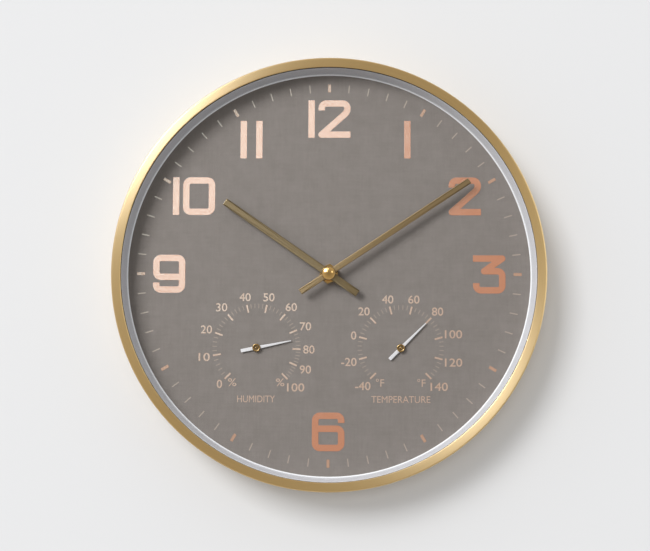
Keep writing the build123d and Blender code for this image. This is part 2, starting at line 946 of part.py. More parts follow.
# Middle plate that carries the upper pivots, the motion work and the stator
motion_post_radius = 0.7
stator_post_radius = 1.0
core_height = train_bottom + coil_flange_radius + layer_gap
core_bottom = core_height - core_thickness / 2
core_top = core_height + core_thickness / 2
stator_top = core_top + stator_thickness
core_left = coil_x - core_length / 2
core_right = coil_x + core_length / 2
stator_arm_width = (core_length - coil_length) / 2 - layer_gap
left_arm_x = core_left + stator_arm_width / 2
right_arm_x = core_right - stator_arm_width / 2
board_top = core_bottom
board_post_places = (
    (movement_inner_half - post_inset, board_lower + post_inset),
    (board_left + post_inset, coil_z),
)
stator_post_places = ((left_arm_x, rotor_z), (right_arm_x, rotor_z))
upper_pivots = ((third_x, third_z), (intermediate_x, intermediate_z), (rotor_x, rotor_z))
with BuildPart() as middle_plate:
    plate_edge = movement_inner_half - case_clearance
    slab(-plate_edge, plate_edge, train_floor + case_clearance, plate_edge, plate_bottom, plate_top)
    slab(
        coil_x - coil_length / 2 - layer_gap,
        coil_x + coil_length / 2 + layer_gap,
        coil_z - coil_flange_radius - layer_gap,
        coil_z + coil_flange_radius + layer_gap,
        plate_bottom - overrun,
        plate_top + overrun,
        mode=Mode.SUBTRACT,
    )
    disc(
        minute_tube_radius + running_clearance,
        plate_bottom - overrun,
        plate_top + overrun,
        mode=Mode.SUBTRACT,
    )
    for x, z in upper_pivots:
        disc(
            arbor_radius + fit_clearance,
            plate_bottom - overrun,
            plate_bottom + pivot_depth,
            x,
            z,
            mode=Mode.SUBTRACT,
        )
    disc(
        stem_radius + running_clearance,
        plate_bottom - overrun,
        plate_top + overrun,
        stem_x,
        stem_z,
        mode=Mode.SUBTRACT,
    )
    disc(motion_post_radius, plate_top, train_top, motion_x, motion_z)
    for x, z in stator_post_places:
        disc(stator_post_radius, stator_top, plate_bottom, x, z)
    for x, z in board_post_places:
        disc(stator_post_radius, board_top, plate_bottom, x, z)
finish(middle_plate.part, "middle_plate")

# Rubber gasket between the movement and the dial
with BuildPart() as dial_gasket:
    ring(gasket_radius, bushing_radius + fit_clearance, movement_top, dial_bottom)
finish(dial_gasket.part, "dial_gasket")

# Threaded bushing that clamps the movement to the dial
with BuildPart() as threaded_bushing:
    turned(
        [
            (bushing_bore_radius, train_top - bushing_flange_thickness),
            (bushing_flange_radius, train_top - bushing_flange_thickness),
            (bushing_flange_radius, train_top),
            (bushing_radius, train_top),
            (bushing_radius, bushing_top),
            (bushing_bore_radius, bushing_top),
        ]
    )
finish(threaded_bushing.part, "threaded_bushing")

# Brass washer and hexagon nut on the bushing
with BuildPart() as fixing_washer:
    ring(washer_radius, bushing_radius + fit_clearance, dial_top, washer_top)
finish(fixing_washer.part, "fixing_washer")

with BuildPart() as hex_nut:
    with BuildSketch(front(washer_top)):
        RegularPolygon(nut_across_flats / 2, nut_sides, major_radius=False, rotation=nut_turn)
    extrude(amount=nut_thickness)
    disc(bushing_radius + fit_clearance, washer_top - overrun, nut_top + overrun, mode=Mode.SUBTRACT)
finish(hex_nut.part, "hex_nut")

# Hour wheel: gear and the long tube that carries the hour hand
with BuildPart() as hour_wheel:
    hour_phase = mating_phase(motion_angle + 180.0, hour_teeth)
    gear(hour_teeth, hour_module, hour_phase, hour_gear_bottom, hour_gear_bottom + hour_gear_thickness)
    hour_seat = hour_hand_bottom - hour_collet_thickness
    disc(hour_tube_radius, hour_gear_bottom, hour_seat)
    disc(hour_seat_radius, hour_seat, hour_tube_top)
    disc(hour_tube_bore_radius, hour_gear_bottom - overrun, hour_tube_top + overrun, mode=Mode.SUBTRACT)
finish(hour_wheel.part, "hour_wheel")


def flat_hand(angle, length, tail, width, low):
    """Flat strip with square ends, longer on the side that points along its clock angle."""
    middle_x, middle_z = clock_point((length - tail) / 2, angle)
    with BuildSketch(front(low, middle_x, middle_z)) as outline:
        RectangleRounded(width, length + tail, hand_corner_radius, rotation=-angle)
    extrude(outline.sketch, amount=hand_thickness)


# Hour hand with its collet
with BuildPart() as hour_hand:
    flat_hand(hour_angle, hour_hand_length, hour_hand_tail, hour_hand_width, hour_hand_bottom)
    disc(hour_collet_radius, hour_seat, hour_hand_bottom)
    disc(hour_seat_radius + fit_clearance, hour_seat - overrun, hour_hand_top + overrun, mode=Mode.SUBTRACT)
finish(hour_hand.part, "hour_hand")

# Cannon pinion: the minute tube with its pinion, threaded end and clutch seat
cannon_rear = centre_wheel_bottom - layer_gap
cannon_collar_radius = 2.4
cannon_collar_bottom = centre_wheel_bottom + wheel_thickness
cannon_collar_top = plate_bottom - layer_gap / 2
cannon_pinion_bottom = plate_top + layer_gap
cannon_pinion_top = motion_wheel_top + layer_gap / 2
minute_thread_top = minute_hand_top + cap_thread_depth - layer_gap
second_bore_depth = cannon_collar_top - cannon_rear
with BuildPart() as cannon_pinion:
    disc(minute_tube_radius, cannon_rear, minute_thread_top)
    disc(cannon_collar_radius, cannon_collar_bottom, cannon_collar_top)
    cannon_phase = motion_angle
    gear(cannon_teeth, cannon_module, cannon_phase, cannon_pinion_bottom, cannon_pinion_top)
    disc(
        arbor_radius + fit_clearance,
        cannon_rear - overrun,
        cannon_rear + second_bore_depth,
        mode=Mode.SUBTRACT,
    )
finish(cannon_pinion.part, "cannon_pinion")

# Minute hand with its collet
with BuildPart() as minute_hand:
    flat_hand(minute_angle, minute_hand_length, minute_hand_tail, minute_hand_width, minute_hand_bottom)
    disc(minute_collet_radius, minute_hand_bottom - minute_collet_thickness, minute_hand_bottom)
    disc(
        minute_tube_radius + fit_clearance / 2,
        minute_hand_bottom - minute_collet_thickness - overrun,
        minute_hand_top + overrun,
        mode=Mode.SUBTRACT,
    )
finish(minute_hand.part, "minute_hand")

# Polished cap nut: a foot ring, a rounded side and a dome
with BuildPart() as cap_nut:
    with BuildSketch(section()):
        with BuildLine():
            Polyline(
                (0, -minute_hand_top),
                (cap_base_radius, -minute_hand_top),
                (cap_base_radius, -cap_waist),
            )
            Spline(
                (cap_base_radius, -cap_waist),
                (cap_radius, -cap_shoulder),
                (0, -cap_top),
                tangents=((1, -1), (-1, 0)),
            )
            Line((0, -cap_top), (0, -minute_hand_top))
        make_face()
    revolve(axis=Axis.Y)
    disc(
        minute_tube_radius + fit_clearance,
        minute_hand_top - overrun,
        minute_hand_top + cap_thread_depth,
        mode=Mode.SUBTRACT,
    )
finish(cap_nut.part, "cap_nut")

# Motion wheel and its pinion, free on a post of the middle plate
motion_bore_radius = motion_post_radius + fit_clearance
motion_pinion_top = hour_gear_bottom + hour_gear_thickness + layer_gap / 2
with BuildPart() as motion_wheel:
    wheel_phase = mating_phase(motion_angle, motion_teeth)
    gear(
        motion_teeth,
        cannon_module,
        wheel_phase,
        motion_wheel_bottom,
        motion_wheel_top,
        motion_x,
        motion_z,
    )
    pinion_phase = motion_angle + 180.0
    gear(
        motion_pinion_teeth,
        hour_module,
        pinion_phase,
        motion_wheel_top,
        motion_pinion_top,
        motion_x,
        motion_z,
    )
    disc(
        motion_bore_radius,
        motion_wheel_bottom - overrun,
        motion_pinion_top + overrun,
        motion_x,
        motion_z,
        mode=Mode.SUBTRACT,
    )
finish(motion_wheel.part, "motion_wheel")

# Centre wheel, held on the cannon pinion by friction
with BuildPart() as centre_wheel:
    centre_phase = mating_phase(third_angle + 180.0, centre_teeth)
    gear(
        centre_teeth, third_module, centre_phase, centre_wheel_bottom, centre_wheel_bottom + wheel_thickness
    )
    disc(
        minute_tube_radius + fit_clearance,
        centre_wheel_bottom - overrun,
        centre_wheel_bottom + wheel_thickness + overrun,
        mode=Mode.SUBTRACT,
    )
finish(centre_wheel.part, "centre_wheel")

arbor_bottom = train_bottom - pivot_depth + fit_clearance
arbor_top = plate_bottom + pivot_depth - fit_clearance


def train_wheel(teeth, module, phase, pinion_teeth, pinion_module, pinion_phase, levels, x, z):
    """Wheel and pinion on one arbor; levels are the undersides of the wheel and the pinion."""
    wheel_low, pinion_low = levels
    gear(teeth, module, phase, wheel_low, wheel_low + wheel_thickness, x, z)
    gear(pinion_teeth, pinion_module, pinion_phase, pinion_low, pinion_low + pinion_thickness, x, z)


# Third wheel
with BuildPart() as third_wheel:
    train_wheel(
        third_teeth,
        second_module,
        mating_phase(third_angle, third_teeth),
        third_pinion_teeth,
        third_module,
        third_angle + 180.0,
        (first_wheel_bottom, third_pinion_bottom),
        third_x,
        third_z,
    )
    disc(arbor_radius, arbor_bottom, arbor_top, third_x, third_z)
finish(third_wheel.part, "third_wheel")

# Second wheel, in line with the hands
with BuildPart() as second_wheel:
    train_wheel(
        second_teeth,
        intermediate_module,
        mating_phase(intermediate_angle + 180.0, second_teeth),
        second_pinion_teeth,
        second_module,
        third_angle,
        (second_wheel_bottom, first_pinion_bottom),
        0,
        0,
    )
    disc(arbor_radius, arbor_bottom, cannon_rear + second_bore_depth / 2)
finish(second_wheel.part, "second_wheel")

# Intermediate wheel between the rotor and the second wheel
with BuildPart() as intermediate_wheel:
    train_wheel(
        intermediate_teeth,
        rotor_module,
        mating_phase(rotor_angle + 180.0, intermediate_teeth),
        intermediate_pinion_teeth,
        intermediate_module,
        intermediate_angle + 180.0,
        (first_wheel_bottom, second_level_pinion_bottom),
        intermediate_x,
        intermediate_z,
    )
    disc(arbor_radius, arbor_bottom, arbor_top, intermediate_x, intermediate_z)
finish(intermediate_wheel.part, "intermediate_wheel")

# Stepping rotor: pinion on its arbor, and the ring magnet pressed on it
magnet_bottom = core_height + core_thickness / 2 + stator_thickness / 2 - magnet_thickness / 2
with BuildPart() as rotor_pinion:
    gear(
        rotor_teeth,
        rotor_module,
        rotor_angle + 180.0,
        first_pinion_bottom,
        first_pinion_bottom + pinion_thickness,
        rotor_x,
        rotor_z,
    )
    disc(arbor_radius, arbor_bottom, arbor_top, rotor_x, rotor_z)
finish(rotor_pinion.part, "rotor_pinion")

with BuildPart() as rotor_magnet:
    ring(
        magnet_radius,
        arbor_radius + fit_clearance / 2,
        magnet_bottom,
        magnet_bottom + magnet_thickness,
        rotor_x,
        rotor_z,
    )
finish(rotor_magnet.part, "rotor_magnet")

# Stator: a flat iron yoke round the rotor whose two arms reach the ends of the coil core
with BuildPart() as stator:
    half_bar = stator_bar_width / 2
    arm_top = coil_z + core_width / 2
    slab(core_left, core_right, rotor_z - half_bar, rotor_z + half_bar, core_top, stator_top)
    slab(core_left, core_left + stator_arm_width, rotor_z, arm_top, core_top, stator_top)
    slab(core_right - stator_arm_width, core_right, rotor_z, arm_top, core_top, stator_top)
    disc(stator_ring_radius, core_top, stator_top, rotor_x, rotor_z)
    disc(stator_bore_radius, core_top - overrun, stator_top + overrun, rotor_x, rotor_z, mode=Mode.SUBTRACT)
finish(stator.part, "stator")

# Soft iron core through the coil
with BuildPart() as coil_core:
    slab(core_left, core_right, coil_z - core_width / 2, coil_z + core_width / 2, core_bottom, core_top)
finish(coil_core.part, "coil_core")


def coil_tube(outer, start, length):
    """Round length along X about the middle of the core."""
    with BuildSketch(crosswise(start, core_height, coil_z)) as outline:
        Circle(outer)
    extrude(outline.sketch, amount=length)


# Bobbin with its two flanges
coil_start = coil_x - coil_length / 2
with BuildPart() as coil_bobbin:
    coil_tube(coil_tube_radius, coil_start, coil_length)
    coil_tube(coil_flange_radius, coil_start, coil_flange_thickness)
    coil_tube(coil_flange_radius, coil_start + coil_length - coil_flange_thickness, coil_flange_thickness)
    slab(
        coil_start - overrun,
        coil_start + coil_length + overrun,
        coil_z - core_width / 2 - fit_clearance,
        coil_z + core_width / 2 + fit_clearance,
        core_bottom - fit_clearance,
        core_top + fit_clearance,
        mode=Mode.SUBTRACT,
    )
finish(coil_bobbin.part, "coil_bobbin")

# Copper winding between the flanges
with BuildPart() as coil_winding:
    winding_start = coil_start + coil_flange_thickness
    winding_length = coil_length - 2 * coil_flange_thickness
    with BuildSketch(crosswise(winding_start, core_height, coil_z)):
        Circle(coil_winding_radius)
        Circle(coil_tube_radius, mode=Mode.SUBTRACT)
    extrude(amount=winding_length)
finish(coil_winding.part, "coil_winding")

# Circuit board with its potted chip and quartz crystal
board_right = movement_inner_half - contact_thickness - contact_slot_clearance / 2
board_upper = movement_inner_half - case_clearance
board_bottom = board_top - board_thickness
with BuildPart() as circuit_board:
    slab(board_left, board_right, board_lower, board_upper, board_bottom, board_top)
finish(circuit_board.part, "circuit_board")

chip_x = (board_left + board_right) / 2
chip_z = board_lower + board_thickness + chip_radius
with BuildPart() as potted_chip:
    turned(
        [
            (0, board_top),
            (chip_radius, board_top),
            (chip_radius * head_flat_share, board_top + chip_height),
            (0, board_top + chip_height),
        ],
        chip_x,
        chip_z,
    )
finish(potted_chip.part, "potted_chip")

crystal_x = chip_x - crystal_length / 2
crystal_z = board_upper - 2 * crystal_radius
with BuildPart() as quartz_crystal:
    crystal_height = board_top + crystal_radius
    with BuildSketch(crosswise(crystal_x, crystal_height, crystal_z)):
        Circle(crystal_radius)
    extrude(amount=crystal_length)
finish(quartz_crystal.part, "quartz_crystal")

# Battery across the bay, its raised end to the right
battery_start = -(battery_length + battery_nub_length) / 2
battery_plane = crosswise(battery_start, battery_height, battery_z)
with BuildPart() as aa_battery:
    with BuildSketch(battery_plane):
        Circle(battery_radius)
    extrude(amount=battery_length)
    fillet(aa_battery.edges().filter_by(GeomType.CIRCLE), battery_shoulder_radius)
    nub_face = aa_battery.faces().sort_by(Axis.X)[-1]
    with BuildSketch(nub_face):
        Circle(battery_nub_radius)
    extrude(amount=battery_nub_length)
finish(aa_battery.part, "aa_battery")


def contact(side):
    """Spring contact against one end wall, with a tab past the bay wall into the train side."""
    wall = side * movement_inner_half
    inner, outer = sorted((wall, wall - side * contact_thickness))
    low = battery_height - contact_width / 2
    high = battery_height + contact_width / 2
    slab(inner, outer, battery_z - contact_width / 2, battery_z + contact_width / 2, low, high)
    tab_low = battery_height - contact_tab_width
    slab(inner, outer, battery_z, train_floor + contact_rise, tab_low, battery_height)


# Contact for the raised end, a flat plate that its nub touches
with BuildPart() as positive_contact:
    contact(1)
    gap_start = -battery_start
    gap_end = movement_inner_half - contact_thickness
    with BuildSketch(crosswise(gap_start, battery_height, battery_z)) as dome_sketch:
        Circle(battery_nub_radius)
    extrude(dome_sketch.sketch, amount=gap_end - gap_start)
finish(positive_contact.part, "positive_contact")

# Contact for the flat end, with a raised spring boss
with BuildPart() as negative_contact:
    contact(-1)
    with BuildSketch(battery_plane) as boss_sketch:
        Circle(contact_width * head_flat_share / 2)
    extrude(boss_sketch.sketch, amount=-(gap_end - gap_start))
finish(negative_contact.part, "negative_contact")

# Setting knob at the rear, its stem and the gear that turns the motion wheel
knob_top = movement_bottom - layer_gap
knob_bottom = knob_top - knob_thickness
with BuildPart() as setting_knob:
    with BuildSketch(front(knob_bottom, stem_x, stem_z)) as knob_sketch:
        Circle(knob_radius)
        with PolarLocations(knob_radius, knob_flute_count):
            Circle(knob_flute_radius, mode=Mode.SUBTRACT)
    extrude(knob_sketch.sketch, amount=knob_thickness)
    disc(stem_radius, knob_top, cannon_pinion_top, stem_x, stem_z)
    setting_module = module_of(setting_distance, setting_teeth, motion_teeth)
    lead = (setting_angle - wheel_phase) % (360.0 / motion_teeth)
    setting_phase = mating_phase(setting_angle, setting_teeth) + lead * motion_teeth / setting_teeth
    gear(
        setting_teeth,
        setting_module,
        setting_phase,
        cannon_pinion_bottom,
        cannon_pinion_top,
        stem_x,
        stem_z,
    )
finish(setting_knob.part, "setting_knob")


def gauge_housing(x, z):
    """Vented cup with a flange against the dial, a rear pivot boss, ledges and a coil stud."""
    cup_inner = gauge_cup_radius - gauge_cup_wall
    ledge_top = dial_bottom - bridge_inset - bridge_thickness
    ring(gauge_cup_radius, cup_inner, gauge_cup_bottom, dial_bottom, x, z)
    disc(gauge_cup_radius, gauge_cup_bottom, gauge_floor, x, z)
    flange_bottom = dial_bottom - gauge_flange_thickness
    ring(gauge_cup_radius + gauge_flange_width, cup_inner, flange_bottom, dial_bottom, x, z)
    for side in (-1, 1):
        left, right = sorted((x + side * cup_inner, x + side * (cup_inner - 2 * gauge_ledge_width)))
        slab(left, right, z - bridge_width / 2, z + bridge_width / 2, gauge_floor, ledge_top)
    with BuildSketch(front(gauge_cup_bottom - overrun, x, z)) as vents:
        middle = (gauge_vent_inner_radius + gauge_vent_outer_radius) / 2
        length = gauge_vent_outer_radius - gauge_vent_inner_radius
        with PolarLocations(middle, gauge_vent_count, start_angle=180.0 / gauge_vent_count):
            SlotOverall(length, gauge_vent_width)
    extrude(vents.sketch, amount=gauge_cup_wall + 2 * overrun, mode=Mode.SUBTRACT)
    disc(gauge_pivot_radius, gauge_floor, gauge_floor + gauge_pivot_height, x, z)
    stud_x, stud_z = along(coil_outer_radius + coil_stud_radius, 90.0, x, z)
    disc(coil_stud_radius, gauge_floor, gauge_floor + coil_lift + coil_hub_length, stud_x, stud_z)
    disc(
        gauge_arbor_radius + fit_clearance,
        gauge_floor,
        gauge_floor + gauge_pivot_height + overrun,
        x,
        z,
        mode=Mode.SUBTRACT,
    )


def gauge_bridge(x, z):
    """Flat bridge across the cup that holds the front of the arbor."""
    cup_inner = gauge_cup_radius - gauge_cup_wall
    reach = math.sqrt(cup_inner**2 - (bridge_width / 2) ** 2) - fit_clearance
    ledge_top = dial_bottom - bridge_inset - bridge_thickness
    half_width = bridge_width / 2
    bridge_top = ledge_top + bridge_thickness
    slab(x - reach, x + reach, z - half_width, z + half_width, ledge_top, bridge_top)
    disc(
        gauge_arbor_radius + fit_clearance,
        ledge_top - overrun,
        dial_bottom,
        x,
        z,
        mode=Mode.SUBTRACT,
    )


def gauge_arbor(x, z):
    """Thin arbor with the hub that the inner end of the coil grips."""
    disc(gauge_arbor_radius, gauge_floor + fit_clearance, needle_top + needle_cap_thickness / 2, x, z)
    disc(coil_hub_radius, gauge_floor + coil_lift, gauge_floor + coil_lift + coil_hub_length, x, z)


def gauge_coil(turns, x, z):
    """Flat strip wound in a spiral: its radius grows evenly with the angle from hub to stud."""
    count = int(turns * coil_points_per_turn) + 1
    low = gauge_floor + coil_lift
    inner_points = []
    outer_points = []
    start_radius = coil_hub_radius + fit_clearance
    growth = coil_outer_radius - coil_strip_thickness - start_radius
    for number in range(count):
        share = number / (count - 1)
        radius = start_radius + growth * share
        angle = math.radians(90.0) - 2 * math.pi * turns * (1 - share)
        inner_points.append((radius * math.cos(angle), radius * math.sin(angle)))
        outer_radius = radius + coil_strip_thickness
        outer_points.append((outer_radius * math.cos(angle), outer_radius * math.sin(angle)))
    with BuildSketch(front(low, x, z)) as outline:
        with BuildLine():
            Spline(*inner_points)
            Spline(*outer_points)
            Line(inner_points[0], outer_points[0])
            Line(inner_points[-1], outer_points[-1])
        make_face()
    extrude(outline.sketch, amount=coil_hub_length)


def gauge_needle(angle, x, z):
    """Tapered pointer with a round middle and a widening tail."""
    with BuildSketch(Plane.XY) as outline:
        with BuildLine():
            Polyline(
                (-needle_tip_width / 2, needle_length),
                (needle_tip_width / 2, needle_length),
                (needle_root_width / 2, 0),
                (needle_tail_width / 2, -needle_tail),
                (-needle_tail_width / 2, -needle_tail),
                (-needle_root_width / 2, 0),
                close=True,
            )
        make_face()
        Circle(needle_hub_radius)
        Circle(gauge_arbor_radius + fit_clearance / 2, mode=Mode.SUBTRACT)
    placed = front(needle_bottom, x, z).location * Rot(0, 0, -angle) * outline.sketch
    extrude(placed, amount=needle_thickness)


def gauge_needle_cap(x, z):
    """Brass cap over the needle, with a groove round its middle pin."""
    disc(needle_cap_radius, needle_top, needle_top + needle_cap_thickness, x, z)
    ring(
        needle_groove_outer_radius,
        needle_groove_inner_radius,
        needle_top + needle_cap_thickness - needle_groove_depth,
        needle_top + needle_cap_thickness + overrun,
        x,
        z,
        mode=Mode.SUBTRACT,
    )
    disc(
        gauge_arbor_radius + fit_clearance / 2,
        needle_top - overrun,
        needle_top + needle_cap_thickness / 2,
        x,
        z,
        mode=Mode.SUBTRACT,
    )


# The two gauges: humidity on the left, temperature on the right
gauges = (
    ("humidity", gauge_places[0], humidity_needle_angle, humidity_coil_turns),
    ("temperature", gauge_places[1], temperature_needle_angle, temperature_coil_turns),
)
for gauge_name, (x, z), needle_angle, coil_turns in gauges:
    with BuildPart() as housing:
        gauge_housing(x, z)
    finish(housing.part, gauge_name + "_housing")
    with BuildPart() as bridge:
        gauge_bridge(x, z)
    finish(bridge.part, gauge_name + "_bridge")
    with BuildPart() as arbor:
        gauge_arbor(x, z)
    finish(arbor.part, gauge_name + "_arbor")
    with BuildPart() as coil:
        gauge_coil(coil_turns, x, z)
    finish(coil.part, gauge_name + "_coil")
    with BuildPart() as needle:
        gauge_needle(needle_angle, x, z)
    finish(needle.part, gauge_name + "_needle")
    with BuildPart() as needle_cap:
        gauge_needle_cap(x, z)
    finish(needle_cap.part, gauge_name + "_needle_cap")
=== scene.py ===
# %% [markdown]
# A round wall clock with a humidity gauge and a thermometer on its dial. The measured model
# arrives as a fixed frame of solids. This lesson keeps the flat solids, gives every one of them
# a real finish, and rebuilds the round and edge-lit pieces as smooth surfaces, because the
# facets and knife edges of a measured solid show at once on brushed metal.

# %% Load the frame
import json
import math

import bmesh
import bpy
import numpy as np
from mathutils import Matrix, Vector


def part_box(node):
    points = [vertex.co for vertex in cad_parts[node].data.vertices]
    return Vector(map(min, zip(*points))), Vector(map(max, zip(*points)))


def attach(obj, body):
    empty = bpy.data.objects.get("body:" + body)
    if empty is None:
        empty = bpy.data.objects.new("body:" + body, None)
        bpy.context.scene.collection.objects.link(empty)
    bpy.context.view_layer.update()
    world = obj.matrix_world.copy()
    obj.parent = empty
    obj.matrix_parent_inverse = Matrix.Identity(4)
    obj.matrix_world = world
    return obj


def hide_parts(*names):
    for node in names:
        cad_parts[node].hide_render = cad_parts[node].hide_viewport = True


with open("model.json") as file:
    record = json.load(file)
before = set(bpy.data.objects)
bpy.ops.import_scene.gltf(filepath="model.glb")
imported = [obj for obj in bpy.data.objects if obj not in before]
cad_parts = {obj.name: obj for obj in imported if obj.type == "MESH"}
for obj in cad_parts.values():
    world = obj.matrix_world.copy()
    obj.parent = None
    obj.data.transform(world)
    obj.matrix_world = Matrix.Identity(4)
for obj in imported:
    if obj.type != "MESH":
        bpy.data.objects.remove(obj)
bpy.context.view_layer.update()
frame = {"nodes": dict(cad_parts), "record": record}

nodes = frame["nodes"]

# %% [markdown]
# The clock hangs on the wall plane Y = 0 and faces -Y, so a height above the wall is a negative
# Y. All the sizes below are read from the solids' own boxes or written in millimetres with
# their meaning, and one factor turns them into metres.

# %% Heights of the layers, from the solids
MM = 0.001


def height_span(node):
    """Lowest and highest height above the wall of a solid, in millimetres: minus its Y."""
    low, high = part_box(node)
    return -1000 * high.y, -1000 * low.y


dial_bottom, dial_top = height_span("dial_plate")
case_back, case_front = height_span("case_ring")
case_radius = 1000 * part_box("case_ring")[1].x
print("dial from", round(dial_bottom, 2), "to", round(dial_top, 2), "mm above the wall")
print("case front at", round(case_front, 2), "radius", round(case_radius, 2))

# %% [markdown]
# Two gauges sit on the lower half of the dial. Their scales are read from angles, counted
# clockwise from straight up. The moisture coil doesn't turn evenly, so the steps of its scale
# grow smaller, while the thermometer's are all alike.

# %% Gauge places, scales and readings
gauge_spots = {"humidity": (-59.25, -60.9), "temperature": (59.25, -60.9)}
humidity_angles = (-134.6, -100.2, -70.1, -41.0, -13.1, 13.5, 40.3, 66.2, 91.7, 113.7, 134.9)
number_angles = {
    "humidity": dict(zip(range(0, 101, 10), humidity_angles)),
    "temperature": {reading: 1.5 * (reading - 50) for reading in range(-40, 141, 20)},
}
needle_angles = {"humidity": 78.4, "temperature": 45.0}
print("numbers on the gauges:", [len(angles) for angles in number_angles.values()])

# %% [markdown]
# The camera stands where the photograph was taken. The sixty minute marks of the dial fix it:
# a little below the clock and a little to its right, with a long lens.

# %% Camera
view_azimuth, view_elevation, view_roll = 1.36, -5.06, 0.25
view_distance, view_shift_right, view_shift_up = 1300.0, -3.15, -1.15
view_focal_pixels, view_width_pixels, sensor_width = 1577.4, 650.0, 36.0
nearest_seen, farthest_seen = 0.05, 20.0


def add_object(name, data):
    """New object of the scene that shows a camera, a mesh, a text or a lamp."""
    thing = bpy.data.objects.new(name, data)
    bpy.context.scene.collection.objects.link(thing)
    return thing


def aim_camera():
    """Camera whose back axis has the given azimuth and elevation seen from the dial's centre.
    Right is (cos a, sin a, 0), up is right x forward, and both turn together by the roll."""
    a, e, roll = (math.radians(v) for v in (view_azimuth, view_elevation, view_roll))
    back = Vector((math.sin(a) * math.cos(e), -math.cos(a) * math.cos(e), math.sin(e)))
    level_right = Vector((math.cos(a), math.sin(a), 0.0))
    level_up = level_right.cross(-back)
    right = level_right * math.cos(roll) + level_up * math.sin(roll)
    up = level_up * math.cos(roll) - level_right * math.sin(roll)
    place = back * view_distance + right * view_shift_right + up * view_shift_up
    place += Vector((0, -dial_top, 0))
    camera = add_object("camera", bpy.data.cameras.new("camera"))
    camera.matrix_world = Matrix.Translation(place * MM) @ Matrix((right, up, back)).transposed().to_4x4()
    camera.data.sensor_width = sensor_width
    camera.data.lens = view_focal_pixels * sensor_width / view_width_pixels
    camera.data.clip_start, camera.data.clip_end = nearest_seen, farthest_seen
    bpy.context.scene.camera = camera
    return camera


camera = aim_camera()
print("camera at", [round(v, 3) for v in camera.matrix_world.translation])
print("lens in mm:", round(camera.data.lens, 2))

# %% [markdown]
# Materials come next. Each is a small network that runs from the place on the piece to the
# inputs of a shader. A few helpers keep the networks short to write: one adds a node and joins
# its inputs, two do sums, and two mix colours or shaders.

# %% Helpers for node trees
def wire(tree, source, target):
    """Joins two sockets, or sets the target to a plain value."""
    if isinstance(source, bpy.types.NodeSocket):
        tree.links.new(source, target)
    else:
        target.default_value = source


def node(tree, kind, settings=(), **inputs):
    """Adds a shader node, sets its properties, and wires or sets its inputs by name or number."""
    made = tree.nodes.new(kind)
    for name, value in dict(settings).items():
        setattr(made, name, value)
    for name, value in inputs.items():
        key = int(name[1:]) if name[0] == "i" and name[1:].isdigit() else name.replace("_", " ")
        wire(tree, value, made.inputs[key])
    return made


def maths(tree, operation, *values, kind="ShaderNodeMath"):
    """One Math node; the values fill its inputs in order."""
    made = node(tree, kind, {"operation": operation})
    for socket, value in zip(made.inputs, values):
        wire(tree, value, socket)
    return made.outputs[0]


def vector_maths(tree, operation, *values):
    """One Vector Math node; the values fill its inputs in order."""
    return maths(tree, operation, *values, kind="ShaderNodeVectorMath")


def mix_colors(tree, share, first, second):
    """Colour between two, by a share from 0 to 1. Each is a socket or a plain (r, g, b)."""
    made = node(tree, "ShaderNodeMix", {"data_type": "RGBA"}, Factor=share)
    for socket, color in zip(made.inputs[6:8], (first, second)):
        wire(tree, (*color, 1) if isinstance(color, tuple) else color, socket)
    return made.outputs[2]


def mix_shaders(tree, share, first, second):
    """Shader between those of two nodes, by a share from 0 to 1."""
    return node(tree, "ShaderNodeMixShader", Fac=share, i1=first.outputs[0], i2=second.outputs[0])


def object_place(tree):
    """Position on the piece in its own metres."""
    return tree.nodes.new("ShaderNodeTexCoord").outputs["Object"]


def parts_of(tree, vector):
    """X, Y and Z of a vector."""
    return node(tree, "ShaderNodeSeparateXYZ", i0=vector).outputs


def fresh_tree(holder):
    """Turns nodes on for a material or a world and gives its emptied tree."""
    holder.use_nodes = True
    holder.node_tree.nodes.clear()
    return holder.node_tree


print("node helpers ready")

# %% [markdown]
# No real surface is quite even. Fine grain, which varies the colour and the roughness a little,
# is shared by nearly all the finishes, so it is a node group built once and given its own values
# in each material. A group only puts out colours and values; the shader itself stays in the
# material, where an exporter can read it.

# %% Shared effect: grain
def make_grain_group():
    """Two noises, one coarse and one fine, averaged into a value from 0 to 1. The colour is the
    base made darker or lighter by that value, and the roughness swings about its middle."""
    tree = bpy.data.node_groups.new("grain", "ShaderNodeTree")
    for label, default in (
        ("Color", (0.5, 0.5, 0.5, 1)),
        ("Amount", 0.1),
        ("Roughness", 0.5),
        ("Roughness Swing", 0.05),
        ("Coarse Scale", 60.0),
        ("Fine Scale", 900.0),
    ):
        kind = "NodeSocketColor" if label == "Color" else "NodeSocketFloat"
        tree.interface.new_socket(label, in_out="INPUT", socket_type=kind).default_value = default
    tree.interface.new_socket("Color", in_out="OUTPUT", socket_type="NodeSocketColor")
    for label in ("Roughness", "Height"):
        tree.interface.new_socket(label, in_out="OUTPUT", socket_type="NodeSocketFloat")
    given, out = tree.nodes.new("NodeGroupInput").outputs, tree.nodes.new("NodeGroupOutput")
    place = object_place(tree)
    coarse = node(tree, "ShaderNodeTexNoise", Vector=place, Scale=given["Coarse Scale"], Detail=3.0)
    fine = node(tree, "ShaderNodeTexNoise", Vector=place, Scale=given["Fine Scale"], Detail=2.0)
    both = maths(tree, "MULTIPLY", maths(tree, "ADD", coarse.outputs[0], fine.outputs[0]), 0.5)
    swing = maths(tree, "SUBTRACT", both, 0.5)
    factor = maths(tree, "ADD", 1.0, maths(tree, "MULTIPLY", swing, given["Amount"]))
    shade = node(tree, "ShaderNodeCombineXYZ", i0=factor, i1=factor, i2=factor)
    wire(tree, vector_maths(tree, "MULTIPLY", given["Color"], shade.outputs[0]), out.inputs["Color"])
    rough = maths(tree, "MULTIPLY", swing, given["Roughness Swing"])
    wire(tree, maths(tree, "ADD", given["Roughness"], rough), out.inputs["Roughness"])
    wire(tree, fine.outputs[0], out.inputs["Height"])
    return tree


